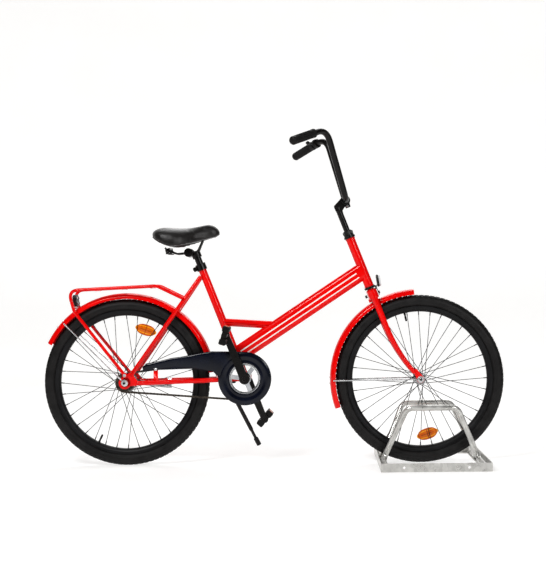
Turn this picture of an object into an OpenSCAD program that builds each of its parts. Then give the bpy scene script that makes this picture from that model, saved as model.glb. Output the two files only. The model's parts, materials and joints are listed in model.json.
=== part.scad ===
// A one-speed bicycle with mudguards, rack and coil-sprung saddle, front wheel held in a floor stand.
// +X points forward, +Z up, the chain is on the -Y side, and the floor is z = 0 midway between the axles.

/* [Wheels] */
// Outside diameter of a tyre
wheel_d = 600; // [560:1:720]
// Width of a tyre
tyre_w = 46; // [38:1:52]
// Height of a tyre above the rim's edge
tyre_h = 40; // [34:1:48]
// Distance between the two axles
wheelbase = 1054; // [1000:1:1265]
// Depth of a rim
rim_h = 20; // [16:1:24]
// Width of a rim
rim_w = 33; // [28:1:36]
// Number of spokes in a wheel
spoke_count = 36; // [20:4:36]
// Diameter of a spoke
spoke_d = 2; // [1.8:0.1:2.3]
// Diameter of an axle
axle_d = 9.5; // [8:0.5:12]

/* [Frame] */
// Angle of the steering axis from the floor
head_angle = 69; // [66:0.5:72]
// Angle of the seat tube from the floor
seat_angle = 69; // [66:0.5:72]
// Crank axle ahead of the rear axle
chain_stay = 429; // [415:1:520]
// Height of the crank axle
bb_z = 310; // [290:1:330]
// Length of the seat tube above the crank axle
seat_tube_len = 442; // [400:1:530]
// Outside diameter of the seat tube
seat_tube_d = 28.6; // [27:0.1:34]
// Diameter of the seat post
post_d = 25.4; // [22:0.1:26]
// Length of the head tube
head_len = 188; // [150:1:226]
// Outside diameter of the head tube
head_d = 33; // [31:0.5:38]
// Depth of the oval main beam
beam_h = 62; // [52:1:74]
// Width of the oval main beam
beam_w = 36; // [30:1:43]
// Wall of the main beam
beam_wall = 2; // [1.2:0.1:3]
// Where the beam meets the seat tube, above the crank axle
beam_seat_s = 86; // [80:1:100]
// Where the beam meets the head tube, above its lower end
beam_head_s = 62; // [50:1:80]
// Outside diameter of the top brace
brace_d = 28; // [24:1:30]
// Outside diameter of the chain stays
chain_stay_d = 17; // [15:0.5:18]
// Outside diameter of the seat stays
seat_stay_d = 16; // [13:0.5:19]

/* [Fork and bar] */
// Gap between the front mudguard and the fork's crown
crown_gap = 5.6; // [2:0.1:12]
// Depth of the fork's crown
crown_h = 30; // [24:1:36]
// Offset of the axle ahead of the steering axis
fork_rake = 43.5; // [35:0.5:55]
// Diameter of a fork blade at the crown
blade_top_d = 24; // [20:0.5:26]
// Diameter of a fork blade near the axle
blade_tip_d = 15; // [12:0.5:18]
// Diameter of the handlebar and of the stem's shaft
bar_d = 22.2; // [19:0.1:25.4]
// Height of the bar's clamp above the head tube's lower end
stem_rise = 319; // [300:1:360]
// Distance of the bar's clamp ahead of the steering axis
stem_reach = 36; // [30:1:60]
// Half of the handlebar's width
bar_half = 258; // [230:1:290]
// Rise of the handlebar above its clamp
bar_rise = 243; // [200:1:290]
// Length of a grip
grip_len = 118; // [95:1:130]
// Diameter of a grip
grip_d = 31; // [28:0.5:35]

/* [Mudguards and rack] */
// Gap between a tyre and its mudguard
guard_gap = 20; // [12:1:26]
// Width of a mudguard
guard_w = 56; // [52:1:66]
// Depth of a mudguard's sides
guard_side = 20; // [12:1:26]
// Sheet thickness of a mudguard
guard_t = 1.4; // [1:0.1:2]
// Diameter of a mudguard's stay
guard_stay_d = 5; // [4:0.5:6]
// Height of the rack's wires above the rear mudguard
rack_rise = 16.6; // [8:0.1:40]
// Half of the distance between the rack's side tubes
rack_half = 55; // [50:1:62]
// Diameter of the rack's side tubes
rack_d = 12; // [9:0.5:14]
// Diameter of the rack's cross wires
rack_wire_d = 7; // [5:0.5:8]

/* [Drive] */
// Length of a crank
crank_len = 170; // [150:1:175]
// Angle of the right crank from straight ahead
crank_angle = 112; // [0:1:359]
// Teeth on the chainring
ring_teeth = 38; // [32:1:40]
// Teeth on the sprocket
sprocket_teeth = 16; // [14:1:20]
// Pitch of the chain
chain_pitch = 12.7; // [12.7:0.1:12.7]
// Distance of the chain from the middle plane
chain_y = 44; // [43:0.5:46]
// Radius of the chain guard's disc
disc_r = 95; // [92:1:105]
// Radius of the hole in the chain guard's disc
disc_hole_r = 56; // [48:1:60]
// Length of a pedal along the shoe
pedal_len = 68; // [58:1:80]
// Width of a pedal along its spindle
pedal_w = 88; // [78:1:100]
// Thickness of a pedal
pedal_t = 26; // [20:1:30]

/* [Saddle and stand] */
// Height of the seat post's top above the crank axle, along the seat tube
post_top = 488; // [470:1:640]
// Length of the saddle
saddle_len = 254; // [240:1:280]
// Width of the saddle
saddle_w = 200; // [170:1:220]
// Length of the floor stand, along the wheel
stand_len = 378; // [330:1:454]
// Width of the floor stand
stand_w = 500; // [420:1:510]
// Height of the floor stand's angle bars
stand_bar_h = 30; // [25:1:36]
// Thickness of the floor stand's angle bars
stand_bar_t = 3; // [2:0.5:4]
// Diameter of the stand's hoops
hoop_d = 20; // [16:1:22]
// Height of the hoops' top bars
hoop_z = 214; // [180:1:250]
// Distance between the screw holes in a stand bar
stand_hole_gap = 220; // [180:1:260]
// Diameter of a screw hole in a stand bar
stand_hole_d = 9; // [6:0.5:12]

/* [Hidden] */
$fn = 48;

red = "crimson";
run = 0.08;    // radial clearance of a running fit
near = 0.3;    // gap between pieces that lie against each other
wheel_r = wheel_d / 2;
guard_in = wheel_r + guard_gap;
guard_out = guard_in + guard_t;
crown_top = -15;
fork_len = guard_out + crown_gap + crown_h - crown_top;
rack_z = wheel_r + guard_out + rack_rise;
rear_x = -wheelbase / 2;
front_x = wheelbase / 2;
bb_x = rear_x + chain_stay;
head_tilt = 90 - head_angle;
seat_tilt = 90 - seat_angle;
head_x = front_x - fork_len * sin(head_tilt) - fork_rake * cos(head_tilt);
head_z = wheel_r + fork_len * cos(head_tilt) - fork_rake * sin(head_tilt);

// A point given in the steering axis's own frame, whose z runs up the axis from the head tube's lower end
function on_head(x, y, z) = [head_x + x * cos(head_tilt) - z * sin(head_tilt), y,
    head_z + x * sin(head_tilt) + z * cos(head_tilt)];
// A point given in the seat tube's own frame, whose z runs up the tube from the crank axle
function on_seat(x, y, z) = [bb_x + x * cos(seat_tilt) - z * sin(seat_tilt), y,
    bb_z + x * sin(seat_tilt) + z * cos(seat_tilt)];
function unit(v) = v / norm(v);
function mix(a, b, t) = a + (b - a) * t;

// Ring centres round one corner of a bent tube
function corner(a, b, c, r, steps) =
    let (u = unit(a - b), w = unit(c - b), half = acos(max(-1, min(1, u * w))) / 2,
        d = min(r / tan(half), 0.48 * norm(a - b), 0.48 * norm(c - b)))
    [for (k = [0:steps]) let (s = k / steps)
        (1 - s) * (1 - s) * (b + d * u) + 2 * s * (1 - s) * b + s * s * (b + d * w)];
// The centreline of a tube that is bent at each inner point
function bent(p, r, steps = 6) = concat([p[0]],
    [for (i = [1:len(p) - 2]) each corner(p[i - 1], p[i], p[i + 1], r, steps)], [p[len(p) - 1]]);
function tangents(p) = [for (i = [0:len(p) - 1]) unit(p[min(i + 1, len(p) - 1)] - p[max(i - 1, 0)])];
function sides_of(t, seed) = [for (i = 0, u = unit(seed - (seed * t[0]) * t[0]); i < len(t);
    i = i + 1, u = unit(u - (u * t[min(i, len(t) - 1)]) * t[min(i, len(t) - 1)])) u];

// A round bar of the given radii along a path
module swept(path, radii, sides = 12, seed = [0.31, 0.17, 0.94]) {
    n = len(path);
    t = tangents(path);
    u = sides_of(t, seed);
    points = [for (i = [0:n - 1], k = [0:sides - 1]) let (a = 360 * k / sides, v = cross(t[i], u[i]))
        path[i] + radii[i] * (cos(a) * u[i] + sin(a) * v)];
    walls = [for (i = [0:n - 2], k = [0:sides - 1], half = [0, 1])
        let (a = i * sides + k, b = i * sides + (k + 1) % sides, c = a + sides, d = b + sides)
        half == 0 ? [a, c, b] : [b, c, d]];
    polyhedron(points, concat([[for (k = [0:sides - 1]) k]], walls,
        [[for (k = [sides - 1:-1:0]) (n - 1) * sides + k]]), convexity = 8);
}
module rod(path, d, sides = 12) swept(path, [for (p = path) d / 2], sides);

// Children stand on point a with their z towards point b
module along(a, b) {
    v = b - a;
    translate(a) rotate([0, acos(v[2] / norm(v)), atan2(v[1], v[0])]) children();
}
module bar(a, b, d) along(a, b) cylinder(h = norm(b - a), d = d);
module at_head() translate([head_x, 0, head_z]) rotate([0, -head_tilt, 0]) children();
module at_seat() translate([bb_x, 0, bb_z]) rotate([0, -seat_tilt, 0]) children();
// Children turn about a crosswise axle: their x is forward, y up and z towards the chain side
module at_axle(x, z) translate([x, 0, z]) rotate([90, 0, 0]) children();
module at_rear() at_axle(rear_x, wheel_r) children();
module at_front() at_axle(front_x, wheel_r) children();
module both_sides() { children(); mirror([0, 1, 0]) children(); }
module ring(r_out, r_in, z0, z1) translate([0, 0, z0]) difference() {
    cylinder(h = z1 - z0, r = r_out);
    translate([0, 0, -1]) cylinder(h = z1 - z0 + 2, r = r_in);
}
module stadium(h, w) {
    square([h - w, w], center = true);
    for (side = [-1, 1]) translate([side * (h - w) / 2, 0]) circle(d = w);
}

// ---- Floor stand
stand_x = front_x + 34;
module angle_bar(len, h = stand_bar_h) rotate([90, 0, 90]) translate([0, 0, -len / 2]) linear_extrude(len)
    polygon([[0, 0], [h, 0], [h, stand_bar_t], [stand_bar_t, stand_bar_t], [stand_bar_t, h], [0, h]]);
module stand_base() color("silver") {
    for (side = [0, 180]) translate([stand_x, 0, 0]) rotate(side) difference() {
        translate([0, -stand_w / 2, 0]) angle_bar(stand_len);
        for (hole = [-1, 1]) translate([hole * stand_hole_gap / 2, -stand_w / 2 - 1, stand_bar_h / 2])
            rotate([-90, 0, 0]) cylinder(h = stand_bar_t + 2, d = stand_hole_d);
    }
    for (side = [0, 180]) translate([stand_x, 0, 0]) rotate(side) translate([stand_len / 2, 0, 0])
        rotate(90) angle_bar(stand_w - 2 * stand_bar_t);
}
hoop_in = 27;      // half the gap between the hoops at their feet
hoop_out = 108;    // half the gap between the hoops at their top
hoop_foot = stand_len / 2 - stand_bar_t - hoop_d / 2 - 6;
hoop_floor = stand_bar_t + hoop_d / 2;
module hoop() {
    half = [[hoop_foot, -stand_w / 2 + stand_bar_t + near, hoop_floor], [hoop_foot, -hoop_in, hoop_floor],
        [hoop_foot - 82, -hoop_out, hoop_z - hoop_d / 2]];
    path = concat([for (p = half) [-p[0], p[1], p[2]]], [for (i = [2:-1:0]) half[i]]);
    translate([stand_x, 0, 0]) rod(bent(path, 34), hoop_d);
}
module stand_hoops() color("silver") both_sides() hoop();

// ---- Wheels
tyre_r = tyre_w / 2;
rim_out = wheel_r - tyre_h;
rim_in = rim_out - rim_h;
bead_r = rim_out - 6.5;
rim_wall = 1.6;
bead_y = rim_w / 2 - rim_wall - near - 2;
bead_low = bead_r + 0.5;
bead_top = max(rim_out + 4.7, wheel_r - tyre_r + 1.5 - sqrt(max(0, pow(tyre_r, 2) - pow(bead_y, 2))));
module tyre_shape() {
    difference() {
        translate([wheel_r - tyre_r, 0]) circle(r = tyre_r);
        translate([wheel_r - tyre_r, 0]) circle(r = tyre_r - 3.5);
        translate([rim_out + 1 - tyre_w, -tyre_w]) square([tyre_w, 2 * tyre_w]);
    }
    for (side = [-1, 1]) translate([(bead_low + bead_top) / 2, side * bead_y])
        square([bead_top - bead_low, 4], center = true);
}
module tyre() rotate_extrude($fn = 120) tyre_shape();
module rim() rotate_extrude($fn = 120) difference() {
    translate([rim_in, -rim_w / 2]) polygon([[rim_h, 0], [rim_h, rim_w], [rim_h - 8, rim_w],
        [0, rim_w / 2 + 6], [0, rim_w / 2 - 6], [rim_h - 8, 0]]);
    translate([bead_r, -rim_w / 2 + rim_wall]) square([rim_h, rim_w - 2 * rim_wall]);
    translate([rim_in + rim_wall, -rim_w / 2]) polygon([[rim_h - 9.6, 3], [rim_h - 9.6, rim_w - 3],
        [0.4, rim_w / 2 + 5], [0.4, rim_w / 2 - 5]]);
}
// Spokes cross three others on each flange and lie on both faces of it
flange_t = 3;
module spokes(flange_r, flange_y) {
    hole_r = flange_r - 3;
    for (i = [0:spoke_count - 1]) {
        rim_a = 360 * i / spoke_count;
        side = i % 2 == 0 ? 1 : -1;
        way = floor(i / 2) % 2 == 0 ? 1 : -1;
        hub_a = rim_a - way * 1080 / (spoke_count / 2);
        face = side * (flange_y + way * (flange_t / 2 + spoke_d / 2 + 0.5));
        a = [hole_r * cos(hub_a), hole_r * sin(hub_a), face];
        b = [(rim_in - 0.2) * cos(rim_a), (rim_in - 0.2) * sin(rim_a), side * 2.5];
        bar(a, b, spoke_d, $fn = 24);
    }
}
module hub(flange_r, flange_y, barrel_r, half) difference() {
    union() {
        translate([0, 0, -half]) cylinder(h = 2 * half, r = barrel_r * 0.72);
        translate([0, 0, -flange_y]) cylinder(h = 2 * flange_y, r = barrel_r);
        for (side = [-1, 1]) translate([0, 0, side * flange_y - flange_t / 2])
            cylinder(h = flange_t, r = flange_r);
    }
    translate([0, 0, -half - 1]) cylinder(h = 2 * half + 2, r = axle_d / 2 + run);
}
valve_len = 32;
module valve(a) rotate(a) translate([rim_in - valve_len + rim_wall - 0.1, 0, 0]) rotate([0, 90, 0])
    translate([0, 0, -rim_wall]) cylinder(h = valve_len, d = 8);
module wheel_reflector(r, a) rotate(a) translate([r, 0, 0]) rotate(90)
    translate([0, 0, -reflector_t / 2]) linear_extrude(reflector_t) stadium(70, 40);
rear_flange_r = 33;
rear_flange_y = 27;
front_flange_r = 20;
front_flange_y = 30;
rear_hub_half = 38;
front_hub_half = 34;
// Reflectors sit between the two layers of spokes
reflector_r = 200;
reflector_t = 7;
rear_reflector_a = 69.4;
front_reflector_a = -82.7;
rear_valve_a = 244;
front_valve_a = 102;
module rear_tyre() color("dimgray") at_rear() tyre();
module rear_rim() color("black") at_rear() rim();
module rear_spokes() color("silver") at_rear() spokes(rear_flange_r, rear_flange_y);
module rear_hub() color("silver") at_rear() hub(rear_flange_r, rear_flange_y, 22, rear_hub_half);
module rear_valve() color("black") at_rear() valve(rear_valve_a);
module rear_wheel_reflector() color("orange") at_rear() wheel_reflector(reflector_r, rear_reflector_a);
module front_tyre() color("dimgray") at_front() tyre();
module front_rim() color("black") at_front() rim();
module front_spokes() color("silver") at_front() spokes(front_flange_r, front_flange_y);
module front_hub() color("silver") at_front() hub(front_flange_r, front_flange_y, 15, front_hub_half);
module front_valve() color("black") at_front() valve(front_valve_a);
module front_wheel_reflector() color("orange") at_front() wheel_reflector(reflector_r, front_reflector_a);

// ---- Frame
shell_d = 40;
shell_half = 34;
spindle_d = 17;
brace_seat_s = 216;
post_foot = 300;
beam_a = on_seat(0, 0, beam_seat_s);
beam_b = on_head(0, 0, beam_head_s);
brace_a = on_seat(0, 0, brace_seat_s);
brace_b = mix(beam_a, beam_b, 0.355);
module seat_solid() at_seat() cylinder(h = seat_tube_len, d = seat_tube_d);
module head_solid() at_head() cylinder(h = head_len, d = head_d);
module beam_solid() along(beam_a, beam_b) linear_extrude(norm(beam_b - beam_a)) stadium(beam_h, beam_w);
module shell_solid() at_axle(bb_x, bb_z) cylinder(h = 2 * shell_half + 20, d = shell_d, center = true);
module main_beam() color(red) difference() {
    along(beam_a, beam_b) linear_extrude(norm(beam_b - beam_a)) difference() {
        stadium(beam_h, beam_w);
        stadium(beam_h - 2 * beam_wall, beam_w - 2 * beam_wall);
    }
    seat_solid();
    head_solid();
}
module head_tube() color(red) at_head() ring(head_d / 2, head_d / 2 - 2, 0, head_len);
module seat_tube() color(red) difference() {
    at_seat() difference() {
        cylinder(h = seat_tube_len, d = seat_tube_d);
        translate([0, 0, 40]) cylinder(h = seat_tube_len, d = post_d + 2 * run);
        translate([-seat_tube_d, -1, seat_tube_len - 40]) cube([seat_tube_d, 2, 41]);
    }
    shell_solid();
}
module top_brace() color(red) difference() {
    along(brace_a, brace_b) difference() {
        cylinder(h = norm(brace_b - brace_a), d = brace_d);
        translate([0, 0, -1]) cylinder(h = norm(brace_b - brace_a) + 2, d = brace_d - 3);
    }
    seat_solid();
    beam_solid();
}
// The shell, with a threaded cup at each end that the crank spindle turns in
module bottom_bracket() color(red) at_axle(bb_x, bb_z) {
    ring(shell_d / 2, shell_d / 2 - 3, -shell_half, shell_half);
    for (side = [-1, 1]) translate([0, 0, side * (shell_half - 5)])
        ring(shell_d / 2 - 2, spindle_d / 2 + run, -7, 7);
}
tip_y = 46;        // inner face of a fork end
tip_t = 5;
drop_y = 56;       // inner face of a rear dropout
drop_t = 5;
chain_stay_a = [rear_x + 42, drop_y + 1, wheel_r - 1];
chain_stay_b = [bb_x, 26, bb_z - 2];
seat_stay_a = [rear_x + 22, drop_y + 1, wheel_r + 26];
seat_stay_b = on_seat(-14, 14, 398);
seat_stay_m = mix(seat_stay_a, seat_stay_b, 0.75) + [0, 12, 0];
function on_stay(t) = mix(seat_stay_a, seat_stay_b, t);
bridge_t = (guard_out + near + 6 - 34) / norm(seat_stay_b - seat_stay_a - [0, 14 - drop_y - 1, 0]);
bridge = [on_stay(bridge_t)[0], 0, on_stay(bridge_t)[2]];
lower_bridge_x = rear_x + guard_out + 3;
function stay_z(x) = mix(chain_stay_a, chain_stay_b, (x - chain_stay_a[0]) / (chain_stay_b[0] - chain_stay_a[0]))[2];
function stay_y(x) = mix(chain_stay_a, chain_stay_b, (x - chain_stay_a[0]) / (chain_stay_b[0] - chain_stay_a[0]))[1];
module tyre_room() at_rear() rotate_extrude($fn = 96) translate([wheel_r - tyre_r, 0]) circle(r = tyre_r + 3);
module stay_bars() both_sides() bar(chain_stay_a, chain_stay_b, chain_stay_d);
guard_tab = [rear_x + 111, -1, wheel_r + 49];
// Both stays, the bridge that the mudguard's lower end is screwed to, and the chain guard's rear tab
module chain_stays() color(red) difference() {
    union() {
        stay_bars();
        translate([lower_bridge_x, 0, stay_z(lower_bridge_x)]) rotate([90, 0, 0])
            cylinder(h = 2 * stay_y(lower_bridge_x), d = 12, center = true);
        at_rear() rotate(8) translate([guard_out + near, -42, -9]) cube([2, 50, 18]);
        translate([guard_tab[0] - 8, -guard_face + near, stay_z(guard_tab[0])])
            cube([16, 3, guard_tab[2] + 8 - stay_z(guard_tab[0])]);
    }
    shell_solid();
    both_sides() dropout_plate();
    tyre_room();
}
module seat_stays() color(red) difference() {
    union() {
        both_sides() rod(bent([seat_stay_a, seat_stay_m, seat_stay_b], 120, 4), seat_stay_d, 20);
        translate(bridge) rotate([90, 0, 0]) cylinder(h = 84, d = 12, center = true);
    }
    seat_solid();
    both_sides() dropout_plate();
}
module dropout_plate() at_rear() translate([0, 0, drop_y]) linear_extrude(drop_t) difference() {
    union() {
        circle(r = 14);
        translate([40, 0]) circle(r = 10);
        translate([20, 28]) circle(r = 9);
        polygon([[-8, -11], [42, -10], [46, 8], [26, 35], [12, 33], [-13, 6]]);
    }
    circle(d = axle_d + 2 * run);
}
module rear_dropouts() color(red) both_sides() dropout_plate();

kick_x = bb_x - 59;
kick_z = bb_z - 38;
kick_pin = 5;
module kickstand_bracket() color("black") {
    difference() {
        translate([kick_x - 24, -34, stay_z(kick_x) - chain_stay_d / 2 - 5]) cube([48, 68, 9]);
        stay_bars_loose();
    }
    translate([kick_x - 11, 0, kick_z - 9]) cube([22, 8, stay_z(kick_x) - chain_stay_d / 2 - kick_z + 6]);
    at_axle(kick_x, kick_z) translate([0, 0, -32]) cylinder(h = 26, r = kick_pin);
    at_axle(kick_x, kick_z) translate([0, 0, -32]) cylinder(h = 4, r = 9);
}
kick_eye = [kick_x, 18, kick_z];
kick_knee = [kick_x + 74, 52, kick_z - 154];
kick_foot = [kick_x + 102, 62, kick_z - 212];
kick_sleeve = mix(kick_knee, kick_foot, 0.55);
module kickstand_leg() color("black") difference() {
    union() {
        swept([kick_eye, kick_knee, mix(kick_knee, kick_foot, 0.1), mix(kick_knee, kick_foot, 0.95)],
            [7.5, 7.5, 5.5, 5.5], 16);
        at_axle(kick_x, kick_z) translate([0, 0, -28 + near]) cylinder(h = 20 - 2 * near, r = 11);
    }
    at_axle(kick_x, kick_z) translate([0, 0, -50]) cylinder(h = 60, r = kick_pin + run);
    translate([kick_x - 20, -12, kick_z - 20]) cube([40, 20 + near, 40]);
}
module kickstand_foot() color("black") difference() {
    bar(kick_sleeve, kick_foot, 17);
    bar(mix(kick_knee, kick_foot, 0.4), mix(kick_knee, kick_foot, 0.95), 11 + 2 * run);
}

clamp_h = 24;
module seat_clamp() color("black") at_seat() translate([0, 0, seat_tube_len - clamp_h]) difference() {
    union() {
        cylinder(h = clamp_h, d = seat_tube_d + 9);
        translate([-seat_tube_d / 2 - 15, -8, 4]) cube([18, 16, clamp_h - 8]);
        translate([-seat_tube_d / 2 - 9, 0, clamp_h / 2]) rotate([90, 0, 0])
            cylinder(h = 34, d = 7, center = true);
        translate([-seat_tube_d / 2 - 9, 17, clamp_h / 2]) rotate([90, 0, 0]) cylinder(h = 7, d = 14);
        translate([-seat_tube_d / 2 - 9, -10, clamp_h / 2]) rotate([90, 0, 0]) cylinder(h = 7, d = 14);
    }
    translate([0, 0, -1]) cylinder(h = clamp_h + 2, d = seat_tube_d + 2 * run);
    translate([-seat_tube_d / 2 - 16, -1.2, -1]) cube([16, 2.4, 5 + clamp_h]);
}

// ---- Rack and mudguards
rack_foot = [rear_x + 2, drop_y + drop_t + rack_d / 2 + near, wheel_r + 28];
rack_front = on_stay(0.78) + [-7, 12 + seat_stay_d / 2 + rack_d / 2 - 4, 0];
rack_line = bent([rack_front, [rear_x + 118, rack_half, rack_z + 4], [rear_x - 200, rack_half, rack_z],
    [rear_x - 178, rack_half, rack_z - 82], rack_foot], 44, 5);
rack_wires = [rear_x - 100, rear_x - 4, rear_x + 99];
rack_back = 182;
rack_end = [rear_x - rack_back,
    wheel_r + sqrt(pow(guard_out + near + rack_wire_d / 2, 2) - pow(rack_back, 2))];
module rear_rack() color(red) {
    both_sides() rod(rack_line, rack_d);
    for (x = rack_wires) translate([x, 0, rack_z]) rotate([90, 0, 0])
        cylinder(h = 2 * rack_half, d = rack_wire_d, center = true);
    translate([rack_end[0], 0, rack_end[1]]) rotate([90, 0, 0])
        cylinder(h = 2 * rack_half, d = rack_wire_d, center = true);
}
reflector_h = 46;
module rear_reflector() color("red")
    translate([rack_end[0], 0, rack_end[1] + rack_wire_d / 2 + near + reflector_h / 2]) rotate([0, 96, 0])
    translate([0, 0, -8]) linear_extrude(14) {
        square([reflector_h - 12, 62], center = true);
        square([reflector_h, 50], center = true);
        for (u = [-1, 1], v = [-1, 1]) translate([u * (reflector_h / 2 - 6), v * 25]) circle(r = 6);
    }
guard_fold = 6;    // width of the slope between a mudguard's top and its sides
// Half of the sheet's outline, from the outer edge to the middle and back along the inside
guard_half = [[guard_out - guard_side, guard_w / 2], [guard_out - guard_fold, guard_w / 2],
    [guard_out, guard_w / 2 - guard_fold], [guard_out - guard_t, guard_w / 2 - guard_fold - guard_t / 2],
    [guard_out - guard_fold - guard_t / 2, guard_w / 2 - guard_t], [guard_out - guard_side, guard_w / 2 - guard_t]];
module guard_skin() polygon(concat([for (i = [0:2]) guard_half[i]],
    [for (i = [2:-1:0]) [guard_half[i][0], -guard_half[i][1]]],
    [for (i = [5:-1:3]) [guard_half[i][0], -guard_half[i][1]]], [for (i = [3:5]) guard_half[i]]));
rear_guard_end = 153;
rear_guard_start = 6;
front_guard_end = 199;
front_guard_start = 93;
module rear_fender() color(red) at_rear() rotate(rear_guard_start)
    rotate_extrude(angle = rear_guard_end - rear_guard_start, $fn = 120) guard_skin();
module front_fender() color(red) at_front() rotate(front_guard_start)
    rotate_extrude(angle = front_guard_end - front_guard_start, $fn = 120) guard_skin();
rear_stay_a = 136;
front_stay_a = 180.5;
eye_t = 2.8;
// A wire stay from an eye on the axle to the mudguard's side
module guard_stay(a, eye_y) {
    r = guard_out - 12;
    wire_y = eye_y + (guard_stay_d - eye_t) / 2;
    out = [cos(a), sin(a), 0];
    difference() {
        union() {
            rod(bent([6 * out + [0, 0, wire_y], 34 * out + [0, 0, wire_y],
                r * out + [0, 0, guard_w / 2 + guard_stay_d / 2 + 0.1]], 60, 3), guard_stay_d, 10);
            translate([0, 0, eye_y - eye_t / 2]) cylinder(h = eye_t, r = 12);
        }
        translate([0, 0, eye_y - 9]) cylinder(h = 18, d = axle_d + 2 * run);
        translate([0, 0, eye_y + eye_t / 2]) cylinder(h = 12, r = 11.5);
    }
}
rear_eye_y = drop_y + drop_t + near + eye_t / 2;
front_eye_y = tip_y + tip_t + near + eye_t / 2;
module rear_fender_stays() color("silver") both_sides() at_rear() guard_stay(rear_stay_a, rear_eye_y);
module front_fender_stays() color("silver") both_sides() at_front() guard_stay(front_stay_a, front_eye_y);

// ---- Axles
washer_t = 2.5;
module nut(y) translate([0, 0, y]) {
    cylinder(h = washer_t, r = 11);
    translate([0, 0, washer_t]) cylinder(h = 7.5, r = 8.7, $fn = 6);
}
module axle(hub_half, drop, drop_thick, end) {
    translate([0, 0, -end]) cylinder(h = 2 * end, d = axle_d);
    for (side = [0, 180]) rotate([side, 0, 0]) {
        translate([0, 0, hub_half]) cylinder(h = drop - near - hub_half, r = 9);
        nut(drop + drop_thick + 2 * near + eye_t);
    }
}
module rear_axle() color("silver") at_rear() axle(52, drop_y, drop_t, 80);
module front_axle() color("silver") at_front() axle(front_hub_half + near, tip_y, tip_t, 70);
brake_tip = [rear_x + 150, wheel_r - 18];
module brake_arm() color("silver") {
    at_axle(rear_x, wheel_r) translate([0, 0, -rear_hub_half - 4.4]) difference() {
        union() {
            cylinder(h = 4, r = 17);
            rotate(atan2(brake_tip[1] - wheel_r, brake_tip[0] - rear_x)) translate([0, -9, 0]) cube([154, 18, 4]);
            translate([0, 0, -9]) cylinder(h = 9, r = 9);
        }
        translate([0, 0, -20]) cylinder(h = 30, d = axle_d + 2 * run);
    }
    difference() {
        clip_x = brake_tip[0];
        union() {
            along([clip_x - 6, stay_y(clip_x - 6), stay_z(clip_x - 6)], [clip_x + 6, stay_y(clip_x + 6), stay_z(clip_x + 6)])
                cylinder(h = 12, d = chain_stay_d + 5);
            translate([clip_x - 6, rear_hub_half + 4.4 + near, stay_z(clip_x) - 28]) cube([12, 3, 26]);
        }
        stay_bars_loose();
    }
}
module stay_bars_loose() both_sides() bar(chain_stay_a, chain_stay_b, chain_stay_d + 2 * run);

// ---- Fork, stem and bar, in the steering axis's frame
steerer_d = 25.4;
blade_y = 43;
bend_s = 150;      // where a blade starts to bend forward
blade_end = 30;    // the blade stops this far above the axle
function blade_x(s) = s < bend_s ? 0 : fork_rake * pow((s - bend_s) / (fork_len - bend_s), 2);
blade_steps = [for (s = [34, 90, bend_s, bend_s + 30, bend_s + 60, bend_s + 90, bend_s + 120,
    bend_s + 150, bend_s + 172, fork_len - blade_end]) s];
module blade() {
    path = [for (s = blade_steps) [blade_x(s), mix(blade_y, tip_y + tip_t / 2, s / fork_len), -s]];
    swept(path, [for (s = blade_steps) mix(blade_top_d, blade_tip_d, max(0, s - 60) / (fork_len - 60)) / 2], 16);
}
module fork_end() translate([fork_rake, 0, -fork_len]) rotate([90, 0, 0]) translate([0, 0, -tip_y - tip_t])
    linear_extrude(tip_t) difference() {
        union() {
            circle(r = 13);
            polygon([[-12, 4], [-13, 40], [1, 40], [12, 6]]);
        }
        circle(d = axle_d + 2 * run);
    }
module fork() color(red) at_head() difference() {
    union() {
        translate([0, 0, crown_top - 10]) cylinder(h = head_len + 48, d = steerer_d);
        translate([0, 0, crown_top - crown_h]) rotate(90) linear_extrude(crown_h)
            stadium(2 * blade_y + blade_top_d + 4, 36);
        translate([0, 0, crown_top - 1]) cylinder(h = 5, r = 17);
        both_sides() { blade(); fork_end(); }
        // tongue that the mudguard is screwed to
        translate([-22, -8, crown_top - crown_h - 9]) cube([12, 16, 12]);
    }
    translate([0, 0, 60]) cylinder(h = head_len, d = bar_d + 2 * run);
    translate([fork_rake, 0, -fork_len]) rotate([90, 0, 0]) translate([0, 0, -40])
        intersection() {
            cylinder(h = 80, r = guard_out + near, $fn = 120);
            translate([-60 - fork_rake, fork_len - 60, 30]) cube([80, 60, 20]);
        }
}
cup_h = 8;
module headset_cups() color("black") at_head() {
    ring(head_d / 2 + 4, steerer_d / 2 + run, -cup_h, 0);
    ring(head_d / 2 + 4, steerer_d / 2 + run, head_len, head_len + cup_h);
}
module headset_nut() color("black") at_head() difference() {
    translate([0, 0, head_len + cup_h + near]) {
        cylinder(h = 7, r = 18);
        translate([0, 0, 7]) cylinder(h = 10, r = 19, $fn = 8);
        translate([0, 0, 17]) cylinder(h = 3, r = 15);
    }
    translate([0, 0, head_len]) cylinder(h = 24, d = steerer_d + 2 * run);
    translate([0, 0, head_len]) cylinder(h = 60, d = bar_d + 2 * run);
}
clamp_at = on_head(stem_reach, 0, stem_rise);
module stem() color("black") at_head() difference() {
    union() {
        translate([0, 0, 110]) cylinder(h = stem_rise - 110, d = bar_d);
        translate([0, 0, stem_rise]) sphere(r = 13.5);
        translate([0, 0, stem_rise - 13.5]) cylinder(h = 13.5, d = bar_d + 3);
        translate([0, 0, stem_rise]) rotate([0, 90, 0]) cylinder(h = stem_reach - 4, r = 12.5);
        translate([stem_reach, 0, stem_rise]) rotate([90, 0, 0]) cylinder(h = 40, r = 16.5, center = true);
        translate([stem_reach - 12, -9, stem_rise - 27]) cube([20, 18, 20]);
        translate([stem_reach - 2, 0, stem_rise - 21]) rotate([90, 0, 0]) cylinder(h = 30, r = 4.5, center = true);
        translate([0, 0, stem_rise + 10]) cylinder(h = 8, r = 6.5, $fn = 6);
    }
    translate([stem_reach, 0, stem_rise]) rotate([90, 0, 0])
        cylinder(h = 60, d = bar_d + 2 * run, center = true);
}
bar_foot_y = 58;
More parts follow.
